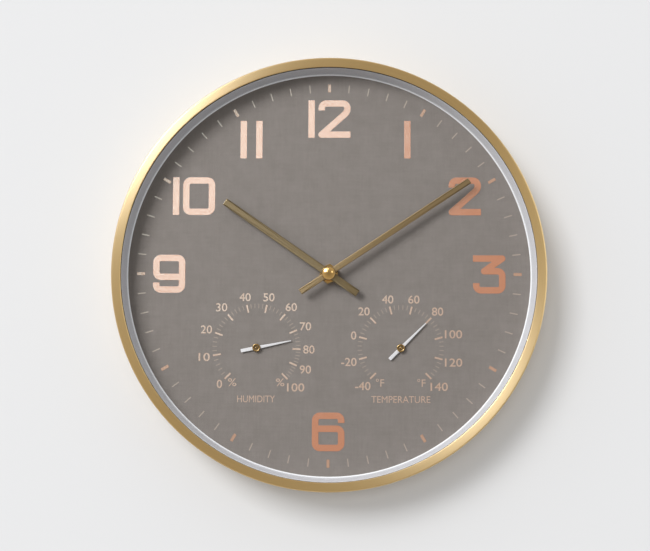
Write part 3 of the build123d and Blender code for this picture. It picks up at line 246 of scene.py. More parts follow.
grain_group = make_grain_group()
print("grain group nodes:", len(grain_group.nodes))

# %% [markdown]
# Paint, plastic and metal differ in the plain values of their shader, and all of them have that
# grain. So one function makes any finish from a colour, a roughness and a strength of grain. The
# shader's other values are handed to it by name.

# %% A finish from the grain group
def finish(name, color, roughness, metallic=0.0, amount=0.12, swing=0.1, bump=0.0,
           scales=(60.0, 900.0), **plain):
    """Principled material whose colour and roughness pass through the grain group. bump is the
    height of the fine noise in metres, scales are those of the coarse and the fine noise, and
    plain holds values set on the shader's own sockets."""
    material = bpy.data.materials.new(name)
    tree = fresh_tree(material)
    group = node(tree, "ShaderNodeGroup", {"node_tree": grain_group}, Color=(*color, 1), Amount=amount,
                 Roughness=roughness, Roughness_Swing=swing, Coarse_Scale=scales[0], Fine_Scale=scales[1])
    shader = node(tree, "ShaderNodeBsdfPrincipled", Base_Color=group.outputs["Color"],
                  Roughness=group.outputs["Roughness"], Metallic=metallic, **plain)
    node(tree, "ShaderNodeOutputMaterial", Surface=shader.outputs[0])
    if bump:
        relief = node(tree, "ShaderNodeBump", Height=group.outputs["Height"], Distance=bump)
        wire(tree, relief.outputs[0], shader.inputs["Normal"])
    material.diffuse_color = (*color, 1)
    return material


def shader_of(material):
    """The material's own Principled shader."""
    return next(n for n in material.node_tree.nodes if n.type == "BSDF_PRINCIPLED")


def grain_inputs(material):
    """The inputs of the grain group that feeds a finish's base colour."""
    return shader_of(material).inputs["Base Color"].links[0].from_node.inputs


print("finish maker ready")

# %% [markdown]
# The case is spun metal, brushed while it turned. Each groove is a circle round the clock's
# axis, so the grooves are a noise of the radius and the depth, stretched far along the circle.
# The direction across them tells the shader how to draw its highlight out, and that gives the
# two bright arcs at the upper left and the lower right. A thin lacquer over the gold adds a
# whiter shine where the lamp is strongest.

# %% Brushed gold of the case
gold_color, gold_roughness, gold_stretch = (0.87, 0.66, 0.34), 0.42, 0.85
groove_scale, along_scale, groove_depth, groove_shade = 6000.0, 14.0, 0.006, 0.75
lacquer = dict(Coat_Weight=0.6, Coat_Roughness=0.3)


def make_brushed_gold():
    """A noise of (radius, depth) times the groove scale, moved on by the direction across times
    the along scale, bumps the surface and darkens the colour. The radius is the length of
    (x, z), the depth is y, and the direction across is (x, z) over the radius."""
    material = finish("brushed_gold", gold_color, gold_roughness, metallic=1.0, amount=0.06, swing=0.04,
                      Anisotropic=gold_stretch, **lacquer)
    tree, shader = material.node_tree, shader_of(material)
    place = object_place(tree)
    flat = vector_maths(tree, "MULTIPLY", place, (1.0, 0.0, 1.0))
    across = vector_maths(tree, "NORMALIZE", flat)
    radius = vector_maths(tree, "LENGTH", flat).node.outputs["Value"]
    rings = node(tree, "ShaderNodeCombineXYZ", i0=radius, i1=parts_of(tree, place)[1]).outputs[0]
    rings = vector_maths(tree, "MULTIPLY", rings, (groove_scale,) * 3)
    along = vector_maths(tree, "MULTIPLY", across, (along_scale,) * 3)
    line = vector_maths(tree, "ADD", rings, along)
    groove = node(tree, "ShaderNodeTexNoise", Vector=line, Scale=1.0, Detail=3.0).outputs[0]
    relief = node(tree, "ShaderNodeBump", Height=groove, Distance=groove_depth * MM)
    wire(tree, relief.outputs[0], shader.inputs["Normal"])
    wire(tree, across, shader.inputs["Tangent"])
    dark = tuple(c * groove_shade for c in gold_color)
    wire(tree, mix_colors(tree, groove, dark, gold_color), grain_inputs(material)["Color"])
    return material


gold_metal = make_brushed_gold()
print("brushed gold nodes:", len(gold_metal.node_tree.nodes))

# %% [markdown]
# The ring under the glass is painted silver. Its foot is a narrow bead, and the bead's paler
# colour is a painted highlight: the bright line that the foot catches along the dial. So the
# paint steps with the height above the dial.

# %% Silver paint of the inner ring
# The bead's paler colour is a painted highlight.
slope_paint, bead_highlight_paint, bead_height = (0.59, 0.585, 0.62), (0.86, 0.86, 0.89), 1.4


def make_ring_paint():
    """Satin silver paint with a painted highlight: paler where the height above the dial is less than
    the bead's. In the scene's frame that is where Y is greater than minus the height of the bead's
    upper edge."""
    material = finish("satin_silver", slope_paint, 0.38, amount=0.04, Coat_Weight=0.2)
    tree = material.node_tree
    y = parts_of(tree, object_place(tree))[1]
    # Painted highlight: below the bead's upper edge the paint turns paler.
    bead = maths(tree, "GREATER_THAN", y, -(dial_top + bead_height) * MM)
    wire(tree, mix_colors(tree, bead, slope_paint, bead_highlight_paint), grain_inputs(material)["Color"])
    return material


silver_ring = make_ring_paint()
print("silver paint nodes:", len(silver_ring.node_tree.nodes))

# %% [markdown]
# The hands are brass strip, toned to a satin gold and lacquered. The hour hand gets a darker copy
# of the same brass: painted shade for its duller look in this light. The cap nut is polished
# bright, the caps of the needles are duller, and a dark brass stands for the floor of their
# grooves, where little light arrives.

# %% Gold of the hands and brass of the caps
satin = dict(metallic=0.75, amount=0.1, swing=0.1, Coat_Weight=0.8, Coat_Roughness=0.16)
minute_gold = finish("minute_gold", (0.285, 0.205, 0.11), 0.4, **satin)
# The hour hand's brass is a darker copy of the minute hand's: painted shade.
hour_gold_painted_shade = finish("hour_gold_painted_shade", (0.195, 0.147, 0.08), 0.4, **satin)
polish = dict(metallic=1.0, amount=0.05, swing=0.05)
polished_brass = finish("polished_brass", (0.80, 0.56, 0.26), 0.10, **polish)
toned_brass = finish("toned_brass", (0.50, 0.345, 0.155), 0.16, **polish)
shadowed_brass = finish("shadowed_brass", (0.16, 0.105, 0.05), 0.5, metallic=0.6, amount=0.2)
print("metal finishes ready")

# %% [markdown]
# The dial is a board faced with a warm grey, softly mottled sheet, like suede or fine linen. A
# cloudy noise shifts its colour a little, and two fine noises, stretched along X and along Z,
# give the faint weave.

# %% Dial sheet
cloud_scale, cloud_share = 75.0, 0.55
warp_stretch, weft_stretch, weave_depth = (60.0, 60.0, 900.0), (900.0, 60.0, 60.0), 0.03
dial_tones = ((0.36, (0.222, 0.196, 0.182)), (0.64, (0.258, 0.229, 0.215)))


def make_dial_sheet():
    """Cloudy noise for the mottle, plus two noises squeezed along one axis each for the weave.
    Their weighted sum picks the colour between the two tones."""
    material = bpy.data.materials.new("dial_sheet")
    tree = fresh_tree(material)
    place = object_place(tree)
    cloud = node(tree, "ShaderNodeTexNoise", Vector=place, Scale=cloud_scale, Detail=5.0, Roughness=0.7)
    threads = []
    for stretch in (warp_stretch, weft_stretch):
        squeezed = vector_maths(tree, "MULTIPLY", place, stretch)
        threads.append(node(tree, "ShaderNodeTexNoise", Vector=squeezed, Scale=1.0, Detail=2.0).outputs[0])
    weave = maths(tree, "MULTIPLY", maths(tree, "ADD", *threads), 0.5)
    clouds = maths(tree, "MULTIPLY", cloud.outputs[0], cloud_share)
    woven = maths(tree, "MULTIPLY", weave, 1 - cloud_share)
    ramp = node(tree, "ShaderNodeValToRGB", Fac=maths(tree, "ADD", clouds, woven))
    for stop, (position, color) in zip(ramp.color_ramp.elements, dial_tones):
        stop.position, stop.color = position, (*color, 1)
    relief = node(tree, "ShaderNodeBump", Height=weave, Distance=weave_depth * MM)
    shader = node(tree, "ShaderNodeBsdfPrincipled", Base_Color=ramp.outputs[0], Normal=relief.outputs[0],
                  Roughness=0.75, Specular_IOR_Level=0.25)
    node(tree, "ShaderNodeOutputMaterial", Surface=shader.outputs[0])
    return material


dial_sheet = make_dial_sheet()
print("dial sheet nodes:", len(dial_sheet.node_tree.nodes))

# %% [markdown]
# The numerals are stamped in copper foil under a clear gloss, so they turn pale where they
# mirror the bright upper left of the room. The marks and the scales are finer strokes of the
# same foil, and the shortest of them are so thin that the grey of the dial shows through.

# %% Copper foils and the ink of the scales
foil_grain = dict(amount=0.08, swing=0.06)
foil = finish("copper_foil", (0.50, 0.19, 0.105), 0.18, IOR=2.4, **foil_grain)
mark_foil = finish("mark_foil", (0.44, 0.255, 0.18), 0.2, IOR=1.82, **foil_grain)
hairline_foil = finish("hairline_foil", (0.36, 0.285, 0.245), 0.34, IOR=1.8, **foil_grain)
label_color, fine_tick_color, label_roughness = (0.46, 0.29, 0.22), (0.27, 0.205, 0.175), 0.28
label_gloss = dict(amount=0.06, swing=0.06, IOR=2.2)
label_ink = finish("label_ink", label_color, label_roughness, **label_gloss)


def make_scale_ink(gauge, number_reach=2.0, added_roughness=0.4):
    """Ink whose short ticks fade towards the grey of the dial. The angle round the gauge is
    atan2(x, z), and a tick is a long one within reach of the angle of a number, in degrees."""
    material = finish(gauge + "_ink", label_color, label_roughness, **label_gloss)
    tree, grain = material.node_tree, grain_inputs(material)
    across, up = gauge_spots[gauge]
    place = parts_of(tree, vector_maths(tree, "SUBTRACT", object_place(tree), (across * MM, 0.0, up * MM)))
    angle = maths(tree, "ARCTAN2", place[0], place[2])
    nearest = math.pi
    for number_angle in number_angles[gauge].values():
        off = maths(tree, "ABSOLUTE", maths(tree, "SUBTRACT", angle, math.radians(number_angle)))
        nearest = maths(tree, "MINIMUM", off, nearest)
    short = maths(tree, "GREATER_THAN", nearest, math.radians(number_reach))
    wire(tree, mix_colors(tree, short, label_color, fine_tick_color), grain["Color"])
    duller = maths(tree, "MULTIPLY", short, added_roughness)
    wire(tree, maths(tree, "ADD", label_roughness, duller), grain["Roughness"])
    return material


humidity_ink, temperature_ink = make_scale_ink("humidity"), make_scale_ink("temperature")
print("dial finishes ready")

# %% [markdown]
# A dry cell is a steel can in a printed plastic sleeve. Its jacket here is plain: dark blue,
# with a grey band at the positive end and bare metal on the two ends. All of that follows
# from the place along the cell, so three steps of X make the mask.

# %% Battery jacket
sleeve_blue, band_grey, bare_steel = (0.03, 0.06, 0.11), (0.30, 0.31, 0.32), (0.62, 0.60, 0.56)
bare_positive_end, band_end, bare_negative_end = 1.6, 9.0, 0.4


def make_jacket():
    """Steps of the distance from the positive end: bare metal, grey band, blue sleeve, metal."""
    low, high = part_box("aa_battery")
    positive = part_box("positive_contact")[0].x > (low.x + high.x) / 2
    tip, way = (high.x, -1.0) if positive else (low.x, 1.0)
    material = finish("battery_jacket", sleeve_blue, 0.35, amount=0.15)
    tree = material.node_tree
    x = parts_of(tree, object_place(tree))[0]
    along = maths(tree, "MULTIPLY", maths(tree, "SUBTRACT", x, tip), way / MM)
    at_tip = maths(tree, "LESS_THAN", along, bare_positive_end)
    at_base = maths(tree, "GREATER_THAN", along, 1000 * (high.x - low.x) - bare_negative_end)
    bare = maths(tree, "ADD", at_tip, at_base)
    sleeve = mix_colors(tree, maths(tree, "LESS_THAN", along, band_end), sleeve_blue, band_grey)
    wire(tree, mix_colors(tree, bare, sleeve, bare_steel), grain_inputs(material)["Color"])
    wire(tree, bare, shader_of(material).inputs["Metallic"])
    return material


battery_jacket = make_jacket()
print("battery jacket ready")

# %% [markdown]
# The flat glass has no colour of its own. A Transparent shader lets everything through, and a
# Glossy one, weighted by Fresnel, adds the faint mirror of the room on its face.

# %% Glass
pane_tint, pane_roughness, pane_index = (0.985, 0.99, 0.988, 1), 0.02, 1.3


def make_glass():
    """Fresnel share of gloss over a clear pane, on its front face only: seen from inside, the
    same Fresnel would turn slanting light back and darken the dial."""
    material = bpy.data.materials.new("clear_glass")
    tree = fresh_tree(material)
    clear = node(tree, "ShaderNodeBsdfTransparent", Color=pane_tint)
    gloss = node(tree, "ShaderNodeBsdfAnisotropic", Color=(1, 1, 1, 1), Roughness=pane_roughness)
    fresnel = node(tree, "ShaderNodeFresnel", IOR=pane_index).outputs[0]
    front = maths(tree, "SUBTRACT", 1.0, node(tree, "ShaderNodeNewGeometry").outputs["Backfacing"])
    pane = mix_shaders(tree, maths(tree, "MULTIPLY", fresnel, front), clear, gloss)
    node(tree, "ShaderNodeOutputMaterial", Surface=pane.outputs[0])
    return material


clear_glass = make_glass()
print("glass ready")

# %% [markdown]
# Most solids keep their own shape and only change their finish. The first table goes by the
# stock that a solid is made of. Behind the dial and on the back these are plain workshop
# materials, which need only a colour, a roughness and their own grain: leathery on the moulded
# cover, spangled on zinc plate. The second table names the solids with a finish of their own.

# %% Finishes of the solids
moulded_skin = dict(amount=0.4, swing=0.15, bump=0.00002)
leather_grain = dict(amount=0.5, swing=0.2, bump=0.00005, scales=(40.0, 1500.0))
soft_skin = dict(amount=0.1, swing=0.1, bump=0.00001)
zinc_spangle = dict(amount=0.25, swing=0.25, scales=(120.0, 1400.0))
black_plastic = finish("black_moulded_plastic", (0.022, 0.022, 0.024), 0.42, **moulded_skin)
pale_plastic = finish("pale_moulded_plastic", (0.66, 0.64, 0.58), 0.4, **soft_skin)
finishes = {
    "gold_metal": gold_metal,
    "inner_ring": silver_ring,
    "glass": clear_glass,
    "dial_board": dial_sheet,
    "foil": foil,
    "hand_metal": minute_gold,
    "brass": polished_brass,
    "battery_jacket": battery_jacket,
    "gauge_plastic": black_plastic,
    "movement_plastic": black_plastic,
    "potting": black_plastic,
    "plate_plastic": pale_plastic,
    "gear_plastic": pale_plastic,
    "cover_plastic": finish("grained_black_plastic", (0.035, 0.035, 0.037), 0.55, **leather_grain),
    "steel": finish("zinc_plated_steel", (0.56, 0.56, 0.57), 0.3, metallic=1.0, **zinc_spangle),
    "nickel_contact": finish("nickel_plate", (0.66, 0.63, 0.58), 0.22, metallic=1.0, amount=0.1),
    "magnet": finish("dark_ferrite", (0.06, 0.06, 0.065), 0.6, metallic=0.3),
    "copper_wire": finish("enamelled_copper", (0.55, 0.19, 0.08), 0.3, metallic=0.9, amount=0.3),
    "board": finish("phenolic_board", (0.25, 0.13, 0.05), 0.5, amount=0.3),
    "seal_foam": finish("soft_rubber", (0.025, 0.025, 0.026), 0.8, bump=0.00002),
    "needle_paint": finish("needle_enamel", (0.78, 0.765, 0.79), 0.35, amount=0.03),
    "bimetal": finish("rolled_bimetal", (0.55, 0.42, 0.26), 0.35, metallic=1.0, amount=0.2),
}
own_finishes = {
    "humidity_needle_cap": toned_brass,
    "temperature_needle_cap": toned_brass,
    "hour_hand": hour_gold_painted_shade,
    "hour_marks": mark_foil,
    "minute_marks": hairline_foil,
    "humidity_scale": humidity_ink,
    "temperature_scale": temperature_ink,
}
slot_of = {part["node"]: part["material_slot"] for part in frame["record"]["subparts"]}
body_of = {name: body for body, names in frame["record"]["behaviour"]["bodies"].items() for name in names}


def finish_for(name):
    """A solid's own finish, or else the one of the stock it is made of."""
    return own_finishes.get(name, finishes[slot_of[name]])


for name, thing in nodes.items():
    thing.data.materials.clear()
    thing.data.materials.append(finish_for(name))
print("finished solids:", len(nodes))

# %% [markdown]
# New pieces are grids of points worked out with numpy. Each one stands for a solid: it takes the
# solid's finish, and rides on the same moving body. On a closed piece, points that fall together
# are merged and the faces are turned outwards, so that no seam or pole shows.

# %% From points and faces to a piece
crease_angle = 35.0
merge_distance, sliver_length = 1e-7, 1e-8


def soften(mesh, crease=crease_angle):
    """Smooth shading, sharp where two faces meet at more than the crease angle in degrees."""
    mesh.shade_smooth()
    mesh.set_sharp_from_angle(angle=math.radians(crease))


def new_piece(name, points, faces, like, material=None):
    """Puts points, in mm as (x, height, z), and faces into a mesh that stands for one solid."""
    spots = np.asarray(points, float) * MM
    spots[:, 1] *= -1
    mesh = bpy.data.meshes.new(name)
    mesh.from_pydata(spots.tolist(), [], faces)
    mesh.materials.append(material or finish_for(like))
    mesh.update()
    soften(mesh)
    thing = add_object(name, mesh)
    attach(thing, body_of[like])
    return thing


def tidy_mesh(mesh, crease=crease_angle):
    """Merges doubled points, drops faces with no area and turns all faces outwards."""
    work = bmesh.new()
    work.from_mesh(mesh)
    bmesh.ops.remove_doubles(work, verts=work.verts, dist=merge_distance)
    bmesh.ops.dissolve_degenerate(work, edges=work.edges, dist=sliver_length)
    bmesh.ops.recalc_face_normals(work, faces=work.faces)
    work.to_mesh(mesh)
    work.free()
    soften(mesh, crease)
    mesh.update()


def grid_faces(rows, columns, closed_rows=False, flip=False):
    """Quads of a grid of points, numbered row by row; columns always close on themselves."""
    row = np.arange(rows if closed_rows else rows - 1)[:, None]
    column = np.arange(columns)[None, :]
    following = (row + 1) % rows
    beside = (column + 1) % columns
    corners = ((row, column), (row, beside), (following, beside), (following, column))
    quads = np.stack([across * columns + along for across, along in corners], -1).reshape(-1, 4)
    return (quads[:, ::-1] if flip else quads).tolist()


print("a ring of four squares:", grid_faces(2, 4))

# %% [markdown]
# Two makers cover the round and the flat pieces. A turned piece carries a half section round an
# axis square to the wall, as on a lathe. Its corners get small arcs first, because a corner
# without any round never catches the light.

# %% Maker for turned pieces
def turned_piece(name, profile, like, centre=(0, 0), steps=192, crease=crease_angle):
    """Carries a closed profile of (radius, height) round an axis square to the wall:
    x = r cos t, z = r sin t. Points on the axis fall together there and are merged."""
    radii, heights = np.asarray(profile, float).T[..., None]
    turn = 2 * np.pi * np.arange(steps) / steps
    x = centre[0] + radii * np.cos(turn)
    z = centre[1] + radii * np.sin(turn)
    points = np.stack([x, np.broadcast_to(heights, x.shape), z], -1).reshape(-1, 3)
    thing = new_piece(name, points, grid_faces(len(radii), steps, closed_rows=True), like)
    tidy_mesh(thing.data, crease)
    return thing


def rounded_profile(corners, count=5):
    """Closed profile from (radius, height, corner radius): each corner is cut back along both
    sides by r / tan(half angle) and joined by an arc of that radius. A spoke of the arc is
    (first sin((1 - s) a) + last sin(s a)) / sin a, where a is the angle that the arc spans."""
    made = []
    places = [np.array(corner[:2], float) for corner in corners]
    for number, (place, corner) in enumerate(zip(places, corners)):
        radius = corner[2]
        if radius <= 0:
            made.append(tuple(place))
            continue
        before = places[number - 1] - place
        after = places[(number + 1) % len(places)] - place
        before, after = before / np.linalg.norm(before), after / np.linalg.norm(after)
        half = math.acos(float(np.clip(before @ after, -1, 1))) / 2
        back = radius / math.tan(half)
        middle = place + (before + after) / np.linalg.norm(before + after) * radius / math.sin(half)
        first, last = place + before * back - middle, place + after * back - middle
        spread = math.acos(float(np.clip(first @ last, -radius * radius, radius * radius) / radius**2))
        for share in np.linspace(0, 1, count):
            spoke = first * math.sin((1 - share) * spread) + last * math.sin(share * spread)
            made.append(tuple(middle + spoke / math.sin(spread)))
    return made


triangle = [(1, 0, 0.2), (3, 0, 0.2), (2, 2, 0.2)]
print("points of a triangle with rounded corners:", len(rounded_profile(triangle)))

# %% [markdown]
# The case is one spun band: a thin wall from the wall of the room to the front, turned over
# into a flange. The corner where it turns over is rounded, and that small round is what draws
# the thin bright line along the edge of the real clock.

# %% Case band
band_wall, rear_edge_radius = 0.8, 0.2
flange_width, flange_thickness = 7.8, 0.9
flange_corner_radius, flange_lip_radius = 1.5, 0.7
flange_inner_radius, flange_back = case_radius - flange_width, case_front - flange_thickness
band_inner_radius = case_radius - band_wall
big_ring_steps = 512
band_profile = rounded_profile(
    [
        (case_radius, case_back, rear_edge_radius),
        (case_radius, case_front, flange_corner_radius),
        (flange_inner_radius, case_front, flange_lip_radius),
        (flange_inner_radius, flange_back, 0),
        (band_inner_radius, flange_back, 0),
        (band_inner_radius, case_back, rear_edge_radius),
    ],
    count=9,
)
case_band = turned_piece("case_band", band_profile, "case_ring", steps=big_ring_steps)
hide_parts("case_ring")
print("case band faces:", len(case_band.data.polygons))

# %% [markdown]
# Between the glass and the dial stands a pale satin ring. A small bead runs round its foot, and
# its wall leans outwards from the dial to the glass, so from the front it shows as a light band
# inside the gold. The brighter line at the dial is a painted highlight on the bead.

# %% Inner ring
ring_low, ring_high = height_span("inner_ring")
ring_foot_radius, ring_foot_height, ring_foot_width = 165.8, 0.6, 7.0
bead_width, bead_corner = 1.2, 0.3
ring_wall, ring_mouth_gap, ring_lip_width = 1.3, 0.5, 5.4
ring_top_corner, ring_rim_corner = 0.4, 0.3
ring_top_radius = flange_inner_radius - ring_mouth_gap
ring_outer_radius = ring_top_radius + ring_lip_width
ring_profile = rounded_profile(
    [
        (ring_foot_radius, ring_low, 0),
        (ring_foot_radius, ring_low + ring_foot_height, bead_corner),
        (ring_foot_radius + bead_width, ring_low + ring_foot_height + bead_width, bead_corner),
        (ring_top_radius, ring_high, ring_top_corner),
        (ring_outer_radius, ring_high, ring_rim_corner),
        (ring_outer_radius, ring_high - ring_wall, 0),
        (ring_top_radius + ring_wall, ring_high - ring_wall, 0),
        (ring_foot_radius + bead_width + ring_wall, ring_low + ring_wall, 0),
        (ring_foot_radius + ring_foot_width, ring_low + ring_wall, 0),
        (ring_foot_radius + ring_foot_width, ring_low, 0),
    ]
)
silver_band = turned_piece("silver_band", ring_profile, "inner_ring", steps=big_ring_steps)
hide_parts("inner_ring")
print("silver band faces:", len(silver_band.data.polygons))

# %% [markdown]
# Hands are punched from brass strip. Punching and polishing leave a soft edge, and that soft
# edge catches the lamp as a thin bright line along one side and a dark one along the other. So
# each hand is made of rings of points that follow its own outline: the hole, the face, the
# rounded edge, the underside, and the collet below it.

# %% Maker for pieces that follow an outline about a hub
edge_angles = np.radians([90.0, 67.5, 45.0, 22.5, 0.0])


def follow_outline(name, outline, like, low, high, hole_radius, edge, roll=None, collet=None, hub=(0, 0)):
    """Closed piece about a hub. outline is a closed run of (x, z) points about the hub. Each
    station is either the outline drawn in by an inset along its own normal, or a circle whose
    points lie in the same directions as the outline's points. collet is (radius, bottom) or
    None for a flat underside. The edge is a quarter of an ellipse, roll wide and edge high."""
    roll = roll or edge
    outline = np.asarray(outline, float)
    along_edge = np.roll(outline, -1, 0) - np.roll(outline, 1, 0)
    outward = np.stack([along_edge[:, 1], -along_edge[:, 0]], 1)
    outward /= np.linalg.norm(outward, axis=1)[:, None]
    outward *= np.where((outward * outline).sum(1) < 0, -1.0, 1.0)[:, None]
    direction = outline / np.linalg.norm(outline, axis=1)[:, None]
    stations = [(direction * hole_radius, high)]
    for angles, level, way in ((edge_angles, high, -1), (edge_angles[::-1], low, 1)):
        for angle in angles:
            inset, drop = roll * (1 - math.cos(angle)), edge * (1 - math.sin(angle))
            stations.append((outline - outward * inset, level + way * drop))
    if collet:
        radius, bottom = collet
        stations += [(direction * radius, low), (direction * radius, bottom)]
        stations.append((direction * hole_radius, bottom))
    else:
        stations.append((direction * hole_radius, low))
    points = [np.insert(spots + np.array(hub), 1, height, axis=1) for spots, height in stations]
    faces = grid_faces(len(stations), len(outline), closed_rows=True)
    thing = new_piece(name, np.concatenate(points), faces, like)
    tidy_mesh(thing.data)
    return thing


def turned_outline(points, clock_angle):
    """Turns an outline drawn pointing up to a clock angle, clockwise from twelve."""
    a = math.radians(clock_angle)
    return np.asarray(points, float) @ np.array([[math.cos(a), -math.sin(a)], [math.sin(a), math.cos(a)]])


def densify(corners, radii, step):
    """Closed outline from corners with rounded ends, its straight runs cut into steps."""
    rounded = rounded_profile([(x, z, r) for (x, z), r in zip(corners, radii)])
    runs = []
    for start, end in zip(rounded, rounded[1:] + rounded[:1]):
        cuts = int(math.dist(start, end) / step)
        runs.append(np.linspace(start, end, max(2, cuts + 1))[:-1])
    return np.concatenate(runs)


def strip_outline(length, tail, width, corner=0.35, step=1.2):
    """Flat strip with square ends."""
    half = width / 2
    return densify([(-half, length), (half, length), (half, -tail), (-half, -tail)], [corner] * 4, step)


print("points round a strip of 20 by 4 mm:", len(strip_outline(10, 10, 4)))

# %% [markdown]
# The two hands show the time of the photograph. The hour hand moves on by a twelfth of the
# minute hand's angle, so one reading sets both. Each hand sits on its arbor with a round collet,
# the hour hand's the wider one, because the minute arbor runs through it.

# %% Hour and minute hands
hand_edge, hand_roll, strip_thickness = 0.3, 0.75, 0.8
shown_hour, shown_minute = 10, 9.4
minute_angle = 6.0 * shown_minute
hour_angle = 30.0 * shown_hour + minute_angle / 12.0
hour_sizes = dict(length=104.6, tail=28.9, width=6.1, bore_radius=2.33, collet_radius=3.4)
minute_sizes = dict(length=138.8, tail=27.8, width=5.0, bore_radius=1.68, collet_radius=2.6)


def make_hand(name, like, angle, length, tail, width, bore_radius, collet_radius):
    """Strip of even thickness turned to its angle. Its face lies at the solid's greatest height,
    and its collet goes down to the solid's lowest."""
    low, high = height_span(like)
    outline = turned_outline(strip_outline(length, tail, width), angle)
    return follow_outline(name, outline, like, high - strip_thickness, high, bore_radius,
                          hand_edge, roll=hand_roll, collet=(collet_radius, low))


hour_strip = make_hand("hour_strip", "hour_hand", hour_angle, **hour_sizes)
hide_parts("hour_hand")
minute_strip = make_hand("minute_strip", "minute_hand", minute_angle, **minute_sizes)
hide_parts("minute_hand")
print("hands point at", round(hour_angle, 1), "and", round(minute_angle, 1))

# %% [markdown]
# The cap nut that holds the hands is a small polished dome, turned on a lathe. A mirror-bright
# dome shows the whole room, so its shape matters: its side bulges out over a narrow foot and
# the top is almost a ball.

# %% Cap nut
cap_low, cap_high = height_span("cap_nut")
cap_foot_radius, cap_foot_height, cap_side_radius, cap_side_height = 4.6, 0.6, 5.65, 2.3
cap_bore_radius, cap_bore_depth, cap_crease = 1.7, 2.6, 40.0
cap_shoulder, cap_foot_top = cap_low + cap_side_height, cap_low + cap_foot_height


def cap_nut_profile(bulge_steps=8, dome_steps=27):
    """Half section of the nut. Its side and its dome are quarters of ellipses: the side leaves
    the foot level, its radius growing with sin a and its height with 1 - cos a, and the dome
    leaves the side upright, its radius shrinking with cos a and its height growing with sin a."""
    foot = [(cap_bore_radius, cap_low), (cap_foot_radius, cap_low), (cap_foot_radius, cap_foot_top)]
    a = np.linspace(0, np.pi / 2, bulge_steps + 1)[1:]
    side_radii = cap_foot_radius + (cap_side_radius - cap_foot_radius) * np.sin(a)
    side_heights = cap_foot_top + (cap_shoulder - cap_foot_top) * (1 - np.cos(a))
    a = np.linspace(0, np.pi / 2, dome_steps + 1)[1:-1]
    dome_radii = cap_side_radius * np.cos(a)
    dome_heights = cap_shoulder + (cap_high - cap_shoulder) * np.sin(a)
    side, dome = np.stack([side_radii, side_heights], 1), np.stack([dome_radii, dome_heights], 1)
    bore_top = cap_low + cap_bore_depth
    bore = [(0.0, bore_top), (cap_bore_radius, bore_top)]
    return np.concatenate([foot, side, dome, [(0.0, cap_high)], bore])


cap_dome = turned_piece("cap_dome", cap_nut_profile(), "cap_nut", crease=cap_crease)
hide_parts("cap_nut")
print("cap faces:", len(cap_dome.data.polygons))

# %% [markdown]
# Each gauge has a thin pointer enamelled white, narrow at the tip and broad at the tail, under
# a brass cap with a turned groove round its middle pin. The floor of that groove lies in its
# own shadow, so it gets the darker brass.

# %% Gauge needles and caps
needle_low, needle_high = height_span("humidity_needle")
cap_ring_low, cap_ring_high = height_span("humidity_needle_cap")
needle_length, needle_tail, needle_hub = 29.1, 13.0, 3.0
tip_half, root_half, root_height, tail_half = 0.4, 1.35, 0.5, 1.4
tip_corner, tail_corner = 0.15, 0.5
needle_bore, needle_edge = 1.0, 0.12
cap_ring_radius, cap_groove_radius, cap_pin_radius, cap_arbor_radius = 3.3, 2.15, 0.95, 1.0
cap_rim_corner, cap_groove_corner, cap_pin_corner = 0.55, 0.45, 0.3
cap_groove_depth, cap_pin_drop, cap_socket_depth = 0.85, 0.25, 0.1
cap_ring_steps = 96


def from_the_top(points):
    """Points in order from the top down. A thousandth of x is added to the height, so that level
    points run from right to left."""
    return points[np.argsort(-points[:, 1] - 0.001 * points[:, 0])]


def needle_outline(step=0.5, hub_points=14, gap=0.05):
    """Tapered pointer about its round hub, drawn pointing up: right side from the tip down to
    the hub, round the hub, down the tail, and the mirror image back up. The blade and the tail
    stop a gap away from the hub's arc."""
    blade_meets, tail_meets = math.asin(root_half / needle_hub), math.asin(tail_half / needle_hub)
    angles = np.linspace(math.pi / 2 - blade_meets, tail_meets - math.pi / 2, hub_points)
    hub = needle_hub * np.stack([np.cos(angles), np.sin(angles)], 1)
    tip = [(-tip_half, needle_length), (tip_half, needle_length)]
    root = [(root_half, root_height), (-root_half, root_height)]
    blade = densify(tip + root, [tip_corner, tip_corner, 0, 0], step)
    upper = blade[(blade[:, 1] > hub[0, 1] + gap) & (blade[:, 0] > 0)]
    tail_end = [(tail_half, -needle_tail), (-tail_half, -needle_tail)]
    tail = densify([(-tail_half, 0), (tail_half, 0)] + tail_end, [0, 0, tail_corner, tail_corner], step)
    lower = tail[(tail[:, 1] < hub[-1, 1] - gap) & (tail[:, 0] > 0)]
    side = np.concatenate([from_the_top(upper), hub, from_the_top(lower)])
    return np.concatenate([side, side[::-1] * np.array([-1, 1])])


def darken_floor(mesh, below, facing=0.9):
    """Gives the second material to the faces that look forward from below a height: the share
    of their normal that points forward is above facing."""
    normals, middles = np.empty((2, 3 * len(mesh.polygons)))
    mesh.polygons.foreach_get("normal", normals)
    mesh.polygons.foreach_get("center", middles)
    forward, height = -normals[1::3], -middles[1::3] / MM
    deep = (forward > facing) & (height < below)
    mesh.polygons.foreach_set("material_index", deep.astype(np.int32))


